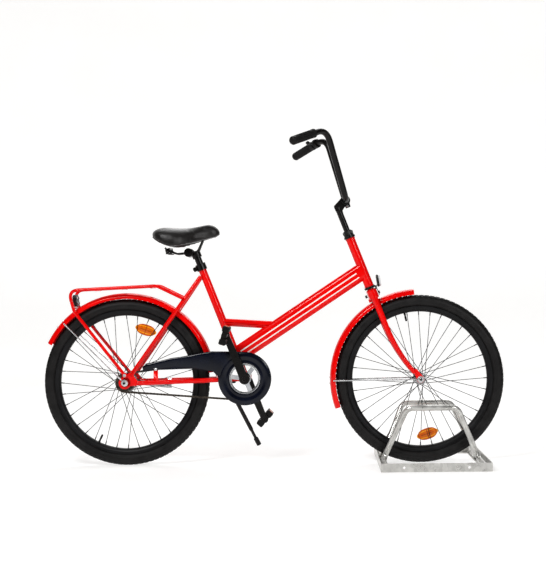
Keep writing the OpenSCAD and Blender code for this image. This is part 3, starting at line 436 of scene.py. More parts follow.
def baked(obj, tree, values):
    """Runs a tree on an object, keeps the result as a plain mesh and removes the modifier's object."""
    modifier = obj.modifiers.new("repeat", "NODES")
    modifier.node_group = tree
    for item in tree.interface.items_tree:
        if item.in_out == "INPUT" and item.name in values:
            modifier[item.identifier] = values[item.name]
    bpy.context.view_layer.update()
    evaluated = obj.evaluated_get(bpy.context.evaluated_depsgraph_get())
    mesh = bpy.data.meshes.new_from_object(evaluated)
    made = bpy.data.objects.new(obj.name + "_repeat", mesh)
    bpy.context.scene.collection.objects.link(made)
    bpy.data.objects.remove(obj)
    return made


# %% The tree that repeats round an axle
round_tree, given = new_tree("repeat_round_axle", [
    ("Count", "NodeSocketInt"), ("Centre", "NodeSocketVector"), ("Material", "NodeSocketMaterial")])
points = add(round_tree, "GeometryNodePoints", inputs={"Count": given["Count"]})
step = add(round_tree, "ShaderNodeMath", {"operation": "DIVIDE"}, {0: 2 * math.pi, 1: given["Count"]})
index = add(round_tree, "GeometryNodeInputIndex")
turn = add(round_tree, "ShaderNodeMath", {"operation": "MULTIPLY"}, {0: step.outputs[0], 1: index.outputs[0]})
turns = add(round_tree, "ShaderNodeCombineXYZ", inputs={"Y": turn.outputs[0]})
copies = add(round_tree, "GeometryNodeInstanceOnPoints", inputs={
    "Points": points.outputs[0], "Instance": given["Geometry"], "Rotation": turns.outputs[0]})
moved = add(round_tree, "GeometryNodeTransform", inputs={
    "Geometry": copies.outputs[0], "Translation": given["Centre"]})
solid = add(round_tree, "GeometryNodeRealizeInstances", inputs={"Geometry": moved.outputs[0]})
painted = add(round_tree, "GeometryNodeSetMaterial", inputs={
    "Geometry": solid.outputs[0], "Material": given["Material"]})
add(round_tree, "NodeGroupOutput", inputs={"Geometry": painted.outputs[0]})


def round_repeat(name, shape, count, centre, material):
    return baked(raw(name, shape), round_tree, {"Count": count, "Centre": centre * MM, "Material": material})


# %% The tree that repeats along a path
path_tree, given = new_tree("repeat_along_path", [
    ("Count", "NodeSocketInt"), ("First", "NodeSocketObject"), ("Second", "NodeSocketObject"),
    ("Material", "NodeSocketMaterial")])
line = add(path_tree, "GeometryNodeResampleCurve", inputs={
    "Curve": given["Geometry"], "Count": given["Count"]})
along = add(path_tree, "FunctionNodeAlignRotationToVector", {"axis": "X"}, {
    "Vector": add(path_tree, "GeometryNodeInputTangent").outputs[0]})
index = add(path_tree, "GeometryNodeInputIndex")
odd = add(path_tree, "ShaderNodeMath", {"operation": "MODULO"}, {0: index.outputs[0], 1: 2.0})
even = add(path_tree, "ShaderNodeMath", {"operation": "SUBTRACT"}, {0: 1.0, 1: odd.outputs[0]})
both_kinds = add(path_tree, "GeometryNodeJoinGeometry")
for label, chosen in (("First", even), ("Second", odd)):
    shape_of = add(path_tree, "GeometryNodeObjectInfo", inputs={"Object": given[label]})
    copies = add(path_tree, "GeometryNodeInstanceOnPoints", inputs={
        "Points": line.outputs[0], "Selection": chosen.outputs[0],
        "Instance": shape_of.outputs["Geometry"], "Rotation": along.outputs[0]})
    path_tree.links.new(copies.outputs[0], both_kinds.inputs[0])
solid = add(path_tree, "GeometryNodeRealizeInstances", inputs={"Geometry": both_kinds.outputs[0]})
painted = add(path_tree, "GeometryNodeSetMaterial", inputs={
    "Geometry": solid.outputs[0], "Material": given["Material"]})
add(path_tree, "NodeGroupOutput", inputs={"Geometry": painted.outputs[0]})


def path_repeat(name, path, first, second, count, material, closed=False, pivot="AUTO"):
    """Copies of two shapes in turn, evenly spaced along a path; pivot is the axis that they turn about."""
    along.pivot_axis = pivot
    curve = bpy.data.curves.new(name, "CURVE")
    curve.dimensions = "3D"
    spline = curve.splines.new("POLY")
    spline.points.add(len(path) - 1)
    for point, p in zip(spline.points, path):
        point.co = (*(Vector(p) * MM), 1.0)
    spline.use_cyclic_u = closed
    obj = bpy.data.objects.new(name, curve)
    bpy.context.scene.collection.objects.link(obj)
    kinds = [raw(name + "_a", first), raw(name + "_b", second)]
    made = baked(obj, path_tree, {
        "Count": count, "First": kinds[0], "Second": kinds[1], "Material": material})
    for kind in kinds:
        bpy.data.objects.remove(kind)
    return made


print("trees", round_tree.name, path_tree.name)

# %% [markdown]
# ## Tyres
# A tyre is a turned section: a round casing, thin ribs where the mould's rings met, and beads that hook
# under the rim. The tread is a row of moulded blocks, one step of which is repeated round the axle.

# %% Tyres
TYRE_R, TUBE_R, TREAD = 300.0, 23.0, 1.6
MIDDLE_R = TYRE_R - TUBE_R


def on_tyre(turn, roll_angle, height):
    """A point on the casing: degrees round the wheel, degrees round the tube, height above the casing."""
    a, reach = math.radians(roll_angle), TUBE_R - TREAD + height
    return round_axle(Vector((0, 0, 0)), MIDDLE_R + reach * math.cos(a), turn, reach * math.sin(a))


def tyre_section():
    """Outside from bead to bead, then back along the inside."""
    outside = []
    for a in range(-150, 151, 4):
        rib = 0.9 if abs(a) in (58, 62, 118, 122) else 0.0
        reach = TUBE_R - TREAD + rib
        outside.append((MIDDLE_R + reach * math.cos(math.radians(a)), reach * math.sin(math.radians(a))))
    inside = [(MIDDLE_R + (r - MIDDLE_R) * 0.86, y * 0.86) for r, y in reversed(outside)]
    return outside + inside


def tread_block(turn, roll_a, roll_b, lean, length, height=TREAD):
    """A block between two angles round the tube, leaning forwards towards the shoulder."""
    rolls = (roll_a, roll_a, roll_b, roll_b)
    rise = [on_tyre(turn + lean * (k in (2, 3)) + length * (k in (1, 2)), rolls[k], h)
            for h in (-0.6, height) for k in range(4)]
    return rise, [(0, 3, 2, 1), (4, 5, 6, 7), (0, 1, 5, 4), (1, 2, 6, 5), (2, 3, 7, 6), (3, 0, 4, 7)]


tread_step = joined(*[tread_block(0.5 * (s < 0), s * 3, s * 17, 0.7, 2.1) for s in (-1, 1)],
                    *[tread_block(1.2 + 0.5 * (s < 0), s * 21, s * 35, 0.8, 2.0) for s in (-1, 1)],
                    *[tread_block(0.4 + 0.5 * (s < 0), s * 39, s * 52, 0.5, 1.7, 1.1) for s in (-1, 1)])
for side_name, axle in (("rear", rear), ("front", front)):
    tyre = raw(side_name + "_tyre_casing", turned(tyre_section(), axle, steps=180))
    tread = round_repeat(side_name + "_tread", tread_step, 96, axle, tyre_rubber)
    casing = tyre.data
    blocks = bmesh.new()
    blocks.from_mesh(casing)
    blocks.from_mesh(tread.data)
    blocks.to_mesh(casing)
    blocks.free()
    bpy.data.objects.remove(tread)
    dress(tyre, tyre_rubber, body_of_node[side_name + "_tyre"], side_name + "_tyre", angle=30)
    print(tyre.name, len(casing.polygons), "faces")

# %% [markdown]
# ## Rims and spokes
# The rim is an aluminium channel with a hollow V below it. Thirty-six spokes cross three others on their
# way from the hub: nine copies of a set of four give the whole pattern, with an elbow and a head at the
# hub and a nipple at the rim.

# %% Rims
RIM_OUT, RIM_DEPTH, RIM_W = 260.0, 20.0, 33.0


def rim_section():
    """One closed wall with rounded hooks, from the outer edge on one side to the other and back."""
    half = RIM_W / 2
    low = RIM_OUT - RIM_DEPTH
    side = [(RIM_OUT - 0.3, half - 1.6), (RIM_OUT, half - 1.0), (RIM_OUT - 0.6, half), (RIM_OUT - 7, half),
            (low + 9.5, half - 1.2), (low + 4, half - 5), (low + 1.2, 7.0), (low, 4.5)]
    inner = [(RIM_OUT - 5.5, half - 1.7), (RIM_OUT - 8, half - 4), (RIM_OUT - 10.5, 5.0)]
    return side + [(r, -y) for r, y in reversed(side)] + [(r, -y) for r, y in inner] + inner[::-1]


for side_name, axle in (("rear", rear), ("front", front)):
    piece(side_name + "_rim_turned", turned(rim_section(), axle, steps=180), rim_black, side_name + "_rim")

# %% Spokes
SPOKES, SPOKE_R, FLANGE_T = 36, 1.15, 3.0


def spoke(number, flange_r, flange_y):
    """One spoke from its head on the flange to its nipple in the rim."""
    rim_a = 360 * number / SPOKES
    side = 1 if number % 2 == 0 else -1
    way = 1 if (number // 2) % 2 == 0 else -1
    hub_a = rim_a - way * 1080 / (SPOKES / 2)
    hub = Vector((0, 0, 0))
    face = lambda lift: -side * (flange_y + way * (FLANGE_T / 2 + lift))
    hole = flange_r - 3
    foot = round_axle(hub, hole, hub_a, face(SPOKE_R + 0.3))
    end = round_axle(hub, RIM_OUT - RIM_DEPTH + 1, rim_a, -side * 2.5)
    head_at = round_axle(hub, hole, hub_a, -side * (flange_y - way * (FLANGE_T / 2 + 1.4)))
    nipple = end + 13 * (foot - end).normalized()
    return joined(
        sweep(bent([head_at, foot, end], 2.0, 3), SPOKE_R, 8),
        sweep([head_at, head_at + Vector((0, side * way * 1.2, 0))], [2.0, 1.2], 8),
        sweep([end, nipple], 1.9, 8))


def hub_size(node):
    low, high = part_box(node)
    return (high.x - low.x) / 2 / MM


for side_name, axle, flange_y in (("rear", rear, 27.0), ("front", front, 30.0)):
    four = joined(*[spoke(k, hub_size(side_name + "_hub"), flange_y) for k in range(4)])
    laced = round_repeat(side_name + "_spokes_laced", four, SPOKES // 4, axle, spoke_steel)
    dress(laced, spoke_steel, body_of_node[side_name + "_spokes"], side_name + "_spokes")
    refined(side_name + "_hub", plated, 0.4)
    print(laced.name, len(laced.data.polygons), "faces")

# %% [markdown]
# Valves and spoke reflectors are small, but they are what the eye uses to see that a wheel turns. A
# reflector is a lens with a raised rim, clipped over the spokes by two bosses.


# %% Valves and spoke reflectors
def valve(axle, angle):
    out = round_axle(Vector((0, 0, 0)), 1, angle, 0)
    stem = [axle + out * r for r in (241, 233, 232, 229, 228, 216, 215)]
    cap = [axle + out * r for r in (228.5, 227, 214, 211, 210)]
    return joined(sweep(stem, [4.0, 4.0, 3.0, 3.0, 2.7, 2.7, 1.6], 16),
                  sweep(cap, [3.2, 3.9, 3.7, 2.8, 1.2], 12))


def reflector(axle, angle, lean, radius=200.0, half_l=35.0, half_w=20.0, half_t=3.4):
    """A long lens with round ends and a raised rim on both faces, tangent to the wheel."""
    middle = round_axle(axle, radius, angle, 0)
    across = round_axle(Vector((0, 0, 0)), 1, angle + lean, 0)
    lengthways = round_axle(Vector((0, 0, 0)), 1, angle + 90 + lean, 0)
    n = 48
    rings = []
    for grow, y in ((0, -half_t + 1), (-0.7, -half_t), (-3, -half_t),
                    (-4, -half_t + 1.2), (-17, -half_t + 0.4)):
        ring = []
        for k in range(n):
            a = 2 * math.pi * k / n
            u = math.copysign(abs(math.cos(a)) ** 0.8, math.cos(a)) * (half_l + grow)
            v = math.copysign(abs(math.sin(a)) ** 0.9, math.sin(a)) * max(0.5, half_w + grow)
            ring.append(middle + u * lengthways + v * across + Vector((0, y, 0)))
        rings.append(ring)
    back = [[p + Vector((0, -2 * (p.y - middle.y), 0)) for p in ring] for ring in rings]
    return lofted([p for ring in rings[::-1] + back for p in ring], n)


for side_name, axle, valve_a, lens_a, lean in (
        ("rear", rear, 244, 69.4, 2), ("front", front, 102, -82.7, 11)):
    node = side_name + "_wheel_reflector"
    piece(side_name + "_valve_stem", valve(axle, valve_a), soft_rubber, side_name + "_valve")
    piece(side_name + "_spoke_reflector", reflector(axle, lens_a, lean), amber, node)
    piece(side_name + "_reflector_clips", reflector(axle, lens_a, lean, half_l=39.5, half_w=14.0, half_t=2.6),
          pale_amber, node, False)
    long_way = round_axle(Vector((0, 0, 0)), 1, lens_a + 90 + lean, 0)
    across = round_axle(Vector((0, 0, 0)), 1, lens_a + lean, 0)
    middle = round_axle(axle, 200, lens_a, 0)
    bars = joined(*[block(middle - u * long_way - v * across - Vector((0, 3.9, 0)), (2 * u, 2 * v, 7.8),
                          long_way, across, long_way.cross(across)) for u, v in ((0.9, 16.5), (23.0, 0.7))])
    piece(side_name + "_reflector_bars", bars, dark_amber, node, False)

# %% [markdown]
# ## Mudguards
# A mudguard is rolled sheet: crowned across, with a wired edge that stiffens it. The same rounded
# section is turned over the arc that each one covers.

# %% Mudguards
GUARD_R, GUARD_W, GUARD_SIDE, SHEET = 321.4, 28.0, 20.0, 1.3


def guard_section():
    """Crowned outside, rolled edge, and the inside a sheet's thickness away."""
    outside = []
    for k in range(-9, 10):
        a = math.radians(10 * k)
        outside.append((GUARD_R - GUARD_SIDE * (1 - abs(math.cos(a)) ** 0.75), GUARD_W * math.sin(a)))
    inside = [(max(GUARD_R - GUARD_SIDE, r - SHEET), y * (1 - SHEET / GUARD_W)) for r, y in reversed(outside)]
    return outside + inside


def mudguard(axle, start, end):
    edge = [sweep([round_axle(axle, GUARD_R - GUARD_SIDE + 0.6, start + (end - start) * i / 90, y)
                   for i in range(91)], 1.5, 8) for y in (-GUARD_W + 1, GUARD_W - 1)]
    return joined(turned(guard_section(), axle, start, end, 110), *edge)


piece("rear_mudguard", mudguard(rear, 6, 153), enamel, "rear_fender")
piece("front_mudguard", mudguard(front, 93, 199), enamel, "front_fender")
refined("rear_fender_stays", plated)
refined("front_fender_stays", plated)


def guard_bolt(axle, angle, y=0.0, lift=0.4):
    """A domed screw head that stands on a mudguard's crown."""
    base = round_axle(axle, GUARD_R - 2, angle, y)
    out = round_axle(Vector((0, 0, 0)), 1, angle, 0)
    return sweep([base, base + out * (2 + lift), base + out * (3.2 + lift), base + out * (4.2 + lift)],
                 [4.2, 4.2, 3.4, 1.4], 16)


piece("rear_mudguard_screws", joined(*[guard_bolt(rear, a) for a in (136, 141)]), plated,
      "rear_fender", False)
piece("front_mudguard_screws", joined(*[guard_bolt(front, a) for a in (178.5, 182.5)]), plated,
      "front_fender", False)

# %% [markdown]
# ## Frame
# The tubes keep the exact shape that the model gives them, with smooth shading. The rack is bars along
# a path, and the head tube gets a small brazed fillet ring near each end.

# %% Frame tubes
for node in ("main_beam", "head_tube", "seat_tube", "top_brace", "bottom_bracket", "chain_stays",
             "seat_stays", "rear_dropouts"):
    refined(node, enamel, 0.5 if node == "rear_dropouts" else 0.0)


for side_name, axle, face_y, lobe_r in (("rear", rear, 61.0, 22.0), ("front", front, 46.0, 12.0)):
    node = "rear_dropouts" if side_name == "rear" else "fork"
    if side_name == "rear":
        lobe = [(9.0, face_y - 4.5), (lobe_r - 1, face_y - 4.5), (lobe_r, face_y - 3.5), (lobe_r, face_y - 1),
                (lobe_r - 1, face_y), (9.0, face_y)]
        piece("rear_dropout_lobes", both(turned(lobe, axle, steps=48)), enamel, node, False)
    tip_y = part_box(side_name + "_axle")[1].y / MM
    # A black disc caps each end of the plated axle. It is painted shade for the dark hole in the middle of the
    # nut.
    hole_shade_disc = sweep([axle + Vector((0, tip_y + y, 0)) for y in (-1.0, 0.3, 0.7)], [4.2, 4.2, 3.0], 16)
    piece(side_name + "_axle_ends", both(hole_shade_disc), powder, side_name + "_axle", False)


def fillet(centre, axis, radius, rise=2.2):
    """A ring of brass and paint at the foot of a tube."""
    axis = axis.normalized()
    side = axis.orthogonal().normalized()
    path = [centre + radius * (math.cos(t) * side + math.sin(t) * axis.cross(side))
            for t in [2 * math.pi * k / 40 for k in range(40)]]
    return sweep(path, rise, 8, closed=True)


lower, upper = on_head(0, 0, 0), on_head(0, 0, 188)
head_rings = [fillet(end, steer, 17.0, 1.6) for end in (lower + 3 * steer, upper - 3 * steer)]
piece("head_tube_rings", joined(*head_rings), enamel, "head_tube", False)

# %% [markdown]
# ## Painted lines
# Two white lines run along each side of the beam, a few millimetres apart, on its flat flank.

# %% Painted lines
beam_foot, beam_top = on_seat(0, 0, 86), on_head(0, 0, 62)
beam_way = (beam_top - beam_foot).normalized()
beam_up = Vector((-beam_way.z, 0, beam_way.x))
FLANK, BEAM_LENGTH = 18.0, (beam_top - beam_foot).length


def painted_line(offset, width, start, end, side):
    """A film of paint on the beam's flank, a tenth of a millimetre proud."""
    corner = beam_foot + start * beam_way + (offset - width / 2) * beam_up + Vector((0, side * FLANK, 0))
    return block(corner, (end - start, width, side * 0.15), beam_way, beam_up, Vector((0, 1, 0)))


lines = [painted_line(offset, width, 22, BEAM_LENGTH - 26, side)
         for side in (-1, 1) for offset, width in ((5.0, 4.2), (-12.0, 3.6))]
piece("beam_white_lines", joined(*lines), line_paint, "main_beam", False)

# %% [markdown]
# ## Rack
# The rack is two bent side tubes with cross wires brazed under them, and feet flattened at the axle.

# %% Rack
stay_low = Vector((rear.x + 22, 57, rear.z + 26))
stay_high = on_seat(-14, 14, 398)


def on_stay(t):
    return stay_low.lerp(stay_high, t)


RACK_Z, RACK_Y = 638.0, 55.0
rack_foot = Vector((rear.x + 2, 67.3, rear.z + 28))
rack_path = bent([on_stay(0.78) + Vector((-7, 22, 0)), (rear.x + 118, RACK_Y, RACK_Z + 8),
                  (rear.x - 200, RACK_Y, RACK_Z - 4), (rear.x - 178, RACK_Y, RACK_Z - 82), rack_foot], 44)
tail_z = rear.z + math.sqrt((GUARD_R + 0.3 + 3.5) ** 2 - 182 ** 2)
wires = [((rear.x + dx, -RACK_Y, z), (rear.x + dx, RACK_Y, z))
         for dx, z in ((-100, RACK_Z - 5), (-4, RACK_Z - 1), (99, RACK_Z + 2), (-182, tail_z))]
foot_eye = sweep([rack_foot + Vector((0, -5.6, 0)), rack_foot + Vector((0, 5.6, 0))], 9.0, 24)
piece("rear_rack_bent", joined(both(joined(sweep(rack_path, 6.0, 20), foot_eye)),
                               *[sweep(w, 3.5, 14) for w in wires]), enamel, "rear_rack")
refined("frame_screws", plated, 0.4)

# %% [markdown]
# ## Fork
# Each blade tapers and bends forward towards its end, under a flat crown. The fork keeps its exact
# crown and ends from the model, with the edges eased.

# %% Fork, headset, stem
refined("fork", enamel, 0.8)
for node in ("headset_cups", "headset_nut"):
    refined(node, powder, 0.6)
REACH, RISE = 36.0, 319.0


def plate_on_head(outline, half):
    """A flat forged web: an outline in the steering plane, made solid across it."""
    n = len(outline)
    verts = [on_head(x, y, z) for y in (-half, half) for x, z in outline]
    return verts, [tuple(range(n))[::-1], tuple(range(n, 2 * n))] + \
        [(k, (k + 1) % n, n + (k + 1) % n, n + k) for k in range(n)]


def across_head(x, z, radius, half, sides=32):
    return sweep([on_head(x, y, z) for y in (-half, -half + 1, half - 1, half)],
                 [radius - 1, radius, radius, radius - 1], sides)


web = plate_on_head([(-11.6, 296), (-12.2, 313), (-10.5, 316.5), (23, 333), (36, 334.6), (50, 318), (30, 303),
                     (12, 290), (11.2, 282)], 10.5)
lug = plate_on_head([(REACH - 12, RISE - 9), (REACH + 10, RISE - 9),
                     (REACH + 8, RISE - 27), (REACH - 9, RISE - 27)], 9)
quill = sweep([on_head(0, 0, z) for z in (150, 296, 306, 313)], [11.1, 11.1, 11.9, 10.0], 32)
eased(piece("stem_forging", joined(quill, web, lug, across_head(REACH, RISE, 16.0, 20)), powder, "stem"), 1.0)
piece("stem_bolt", across_head(REACH - 2, RISE - 21, 4.6, 14.5, 6), plated, "stem", False)

# %% [markdown]
# ## Handlebar and grips
# The bar is one tube with four bends. The grips are moulded over it: a collar at the inner end, a round
# cap at the outer, and fine ribs between them, repeated along the bar.

# %% Handlebar and grips
clamp = on_head(36, 0, 319)
bar_end, bar_corner = clamp + Vector((-187, 258, 187)), clamp + Vector((-67, 130, 243))
bar_foot = clamp + Vector((0, 58, 0))
inward = (bar_corner - bar_end).normalized()
bar_line = [bar_end + 4 * inward, bar_corner, bar_foot]
mirror_of = lambda p: Vector((p.x, -p.y, p.z))
bar_path = bent(bar_line + [mirror_of(p) for p in bar_line[::-1]], 52, 12)
piece("handlebar_bent", sweep(bar_path, 11.1, 32), powder, "handlebar")

GRIP_R, GRIP_L = 15.5, 118.0
grip_steps = ((0.0, 4.0), (0.6, 9.0), (2.5, 13.0), (6.0, 15.0), (11.0, GRIP_R), (16.0, GRIP_R - 0.9),
              (98.0, GRIP_R - 1.2), (103.0, GRIP_R - 0.6), (106.0, GRIP_R + 0.6), (GRIP_L - 1, GRIP_R + 0.6),
              (GRIP_L, GRIP_R - 0.6), (GRIP_L + 0.4, 11.4))
grip_body = sweep([bar_end + s * inward for s, _ in grip_steps], [r for _, r in grip_steps], 32)
rib_ring = sweep([Vector((0, (GRIP_R - 1.0) * math.cos(t), (GRIP_R - 1.0) * math.sin(t)))
                  for t in [2 * math.pi * k / 28 for k in range(28)]], 0.9, 6, closed=True)
grip_line = [bar_end + 20 * inward, bar_end + 96 * inward]
for side_name, turn_over in (("left", lambda p: p), ("right", mirror_of)):
    shell = raw(side_name + "_grip", ([turn_over(p) for p in grip_body[0]], grip_body[1]))
    ribs = path_repeat(side_name + "_ribs", [turn_over(p) for p in grip_line],
                       rib_ring, rib_ring, 20, soft_rubber)
    parts = bmesh.new()
    parts.from_mesh(shell.data)
    parts.from_mesh(ribs.data)
    parts.to_mesh(shell.data)
    parts.free()
    bpy.data.objects.remove(ribs)
    dress(shell, soft_rubber, body_of_node["grips"], "grips")

# %% [markdown]
# ## Bell
# A spun steel dome on a clamp, with a sprung thumb lever beside it.

# %% Bell
bar_way = -inward
bell_mid = bar_corner + 54 * bar_way
lean = bar_way.cross(Vector((0, 0, 1))).normalized()
dome_up = (Vector((0, 0, 1)) - Vector((0, 0, 1)).dot(bar_way) * bar_way).normalized()
dome_foot = bell_mid + 7.5 * dome_up
dome = sweep([dome_foot + h * dome_up for h in (0, 1, 2, 4, 6, 8, 9.4, 9.8)],
             [5, 5, 15, 15.5, 14, 10.5, 5, 1.5], 32)
refined("bell", powder, 0.4)
refined("bell_lever", powder, 0.4)
piece("bell_dome", dome, powder, "bell", False)

# %% [markdown]
# ## Reflectors
# The rear one is a red lens in a black housing that hangs under the rack. The front one is a clear lens
# on the strap from the crown. Each lens is a shallow cushion shape in a lip.


# %% Reflectors
def lens_block(middle, normal, half_u, half_v, depths, insets, u_way):
    """Rounded rectangles stacked along a normal: a housing or a lens."""
    v_way = normal.cross(u_way).normalized()
    n, rings = 40, []
    for depth, inset in zip(depths, insets):
        for k in range(n):
            a = 2 * math.pi * k / n
            u = math.copysign(abs(math.cos(a)) ** 0.45, math.cos(a)) * (half_u - inset)
            v = math.copysign(abs(math.sin(a)) ** 0.45, math.sin(a)) * (half_v - inset)
            rings.append(middle + u * u_way + v * v_way + depth * normal)
    return lofted(rings, n)


low, high = (Vector(c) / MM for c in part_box("rear_reflector"))
tilt = math.radians(6)
rear_way = Vector((-math.cos(tilt), 0, -math.sin(tilt)))
tail_up = Vector((-math.sin(tilt), 0, math.cos(tilt)))
tail_mid = (low + high) / 2
cross = Vector((0, 1, 0))
housing = lens_block(tail_mid, rear_way, 30, 22, (-7, -7, -5, 3, 5, 5), (8, 2, 0, 0, 1.5, 4), cross)
piece("rear_reflector_housing", housing, shell_plastic, "rear_reflector")
piece("rear_reflector_lens", lens_block(tail_mid, rear_way, 26.4, 18.4, (3, 6, 7, 7.4), (0, 0, 2, 9), cross),
      ruby, "rear_reflector", False)
nuts = [sweep([tail_mid + Vector((0, y, 0)) + z * tail_up - d * rear_way for d in (6.5, 10.5, 11.0)],
              [4.6, 4.6, 3.6], 6) for y, z in ((-16, 9), (16, 9), (-16, -9), (16, -9))]
piece("rear_reflector_nuts", joined(*nuts), plated, "rear_reflector", False)
low, high = (Vector(c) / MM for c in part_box("front_reflector"))
tip = math.radians(9)
ahead_way = Vector((math.cos(tip), 0, math.sin(tip)))
front_mid = Vector((high.x - 6, 0, high.z - 24))
strap = [on_head(22.5, 0, z) for z in (-41, 2)] + [front_mid - 14 * ahead_way + Vector((3, 0, -34)),
                                                   front_mid - 8 * ahead_way + Vector((1, 0, -14))]
strap_bar = sweep(bent(strap, 5, 4), 7.6, 16, flat=0.17)
housing = lens_block(front_mid, ahead_way, 27, 22, (-8, -7, -5, -1, -1), (6, 1, 0, 0, 3), cross)
bolt = joined(*[sweep([on_head(x, 0, -30) for x in ends], 5.6, 6) for ends in ((-28, -20.4), (24.2, 28))])
piece("front_reflector_housing", joined(housing, strap_bar, bolt), shell_plastic,
      "front_reflector")
lens = lens_block(front_mid, ahead_way, 25.5, 20.5, (-2, 4.5, 5.6, 6), (0, 0, 2, 9), cross)
piece("front_reflector_lens", lens, clear, "front_reflector", False)

# %% [markdown]
# ## Chain
# A bush roller chain is two links in turn: inner plates with rollers, and outer plates with pins. The
# path is two arcs and two straight runs, and the number of links is even, as it has to be.

# %% Chain path
PITCH, RING_TEETH, COG_TEETH, CHAIN_Y = 12.7, 38, 16, -44.0
ring_r = PITCH / 2 / math.sin(math.pi / RING_TEETH)
cog_r = PITCH / 2 / math.sin(math.pi / COG_TEETH)
span = rear - crank_axle
toward = math.degrees(math.atan2(span.z, span.x))
spread = math.degrees(math.acos((ring_r - cog_r) / math.hypot(span.x, span.z)))
ring_arc = [round_axle(crank_axle, ring_r, toward + spread + (360 - 2 * spread) * k / 60, CHAIN_Y)
            for k in range(61)]
cog_arc = [round_axle(rear, cog_r, toward - spread + 2 * spread * k / 40, CHAIN_Y) for k in range(41)]
chain_path = ring_arc + cog_arc
loop_length = sum((a - b).length for a, b in zip(chain_path, chain_path[1:] + chain_path[:1]))
links = 2 * round(loop_length / PITCH / 2)
print("chain", round(loop_length, 1), "mm,", links, "links")


def link_plate(y, thick, height):
    """A waisted plate between two pins, PITCH apart."""
    outline = []
    for k in range(20):
        a = 2 * math.pi * k / 20
        x = math.copysign(PITCH / 2, math.cos(a)) + height / 2 * math.cos(a)
        waist = 0.8 if abs(math.cos(a)) < 0.35 else 1.0
        outline.append((x, waist * height / 2 * math.sin(a)))
    verts = [Vector((x, y + t, z)) for t in (-thick / 2, thick / 2) for x, z in outline]
    faces = [tuple(range(20))[::-1], tuple(range(20, 40))]
    return verts, faces + [(k, (k + 1) % 20, 20 + (k + 1) % 20, 20 + k) for k in range(20)]


def cross_pin(x, radius, half, sides=10):
    return sweep([Vector((x, -half, 0)), Vector((x, half, 0))], radius, sides)


inner_link = joined(link_plate(-2.1, 1.0, 8.6), link_plate(2.1, 1.0, 8.6),
                    *[cross_pin(s * PITCH / 2, 3.9, 1.6, 12) for s in (-1, 1)])
outer_link = joined(link_plate(-3.3, 1.0, 8.2), link_plate(3.3, 1.0, 8.2),
                    *[cross_pin(s * PITCH / 2, 1.8, 4.2) for s in (-1, 1)])
chain = path_repeat("roller_chain", chain_path, inner_link, outer_link, links, oiled, True, "Y")
dress(chain, oiled, "frame", "chain")
print("chain faces", len(chain.data.polygons))

# %% [markdown]
# ## Ring, sprocket and cranks
# The ring and the sprocket are stamped and ground, the cranks are drop forged, so their edges are soft.

# %% Drive
refined("chainring", bright, 0.3)
refined("rear_sprocket", oiled, 0.3)
refined("crank_spindle", powder, 0.4)
refined("right_crank", powder, 1.2)
refined("left_crank", powder, 1.2)
refined("pedal_spindles", powder, 0.3)
pressed = [(47.0, -50.0), (47.0, -51.4), (49.4, -52.2), (54.4, -52.2), (54.6, -50.0)]
piece("chainring_pressing", turned(pressed, crank_axle, steps=120), plated, "chainring", False)
seam = [(50.6, -52.1), (50.6, -52.5), (51.9, -52.5), (51.9, -52.1)]
piece("chainring_seam", turned(seam, crank_axle, steps=120), rim_black, "chainring", False)
for node in ("rear_axle", "front_axle", "brake_arm"):
    refined(node, plated, 0.4)

# %% [markdown]
# ## Pedals
# A block pedal has two grooved rubber treads on rods between two steel end plates, a barrel over the
# spindle, and an amber reflector let into the outer edge of each tread.

# %% Pedals
PEDAL_L, PEDAL_T, PEDAL_IN, PEDAL_W = 68.0, 26.0, 84.0, 76.0


def pedal_frame(side):
    """The pedal's own directions: along the shoe, out along the spindle, and through the tread."""
    node = "right_pedal" if side < 0 else "left_pedal"
    centre = place(node + "_spin")
    turn = math.radians(74 if side < 0 else 47)
    return centre, Vector((math.cos(turn), 0, math.sin(turn))), Vector((0, side, 0)), \
        Vector((-math.sin(turn), 0, math.cos(turn)))


def tread_bar(centre, x, y, z, shift):
    """One rubber tread: a bar with rounded edges and grooves across both faces."""
    half_x, half_z, ribs = 10.5, PEDAL_T / 2 - 0.4, 11
    profile = [(-half_x, -half_z + 3), (-half_x + 3, -half_z), (half_x - 3, -half_z), (half_x, -half_z + 3),
               (half_x, half_z - 3), (half_x - 3, half_z), (-half_x + 3, half_z), (-half_x, half_z - 3)]
    stations = []
    for k in range(ribs):
        a = PEDAL_IN + PEDAL_W * k / ribs
        stations += [(a + 0.3, 0), (a + 4.9, 0), (a + 5.3, 1.1), (a + 6.5, 1.1)]
    verts = [centre + (shift + u * (1 - 0.02 * cut)) * x + v * (1 - cut / half_z) * z + out * y
             for out, cut in stations for u, v in profile]
    return lofted(verts, len(profile))


def end_plate(centre, x, y, z, out):
    """A pressed plate with round ends."""
    n, half = 28, PEDAL_L / 2 - 5
    edge = [centre + math.copysign(half - 8, math.cos(t)) * x + 9 * math.cos(t) * x + 9.6 * math.sin(t) * z
            for t in [2 * math.pi * (k + 0.5) / n for k in range(n)]]
    verts = [p + (out + d) * y for d in (0, 2.4) for p in edge]
    return verts, [tuple(range(n))[::-1], tuple(range(n, 2 * n))] + \
        [(k, (k + 1) % n, n + (k + 1) % n, n + k) for k in range(n)]


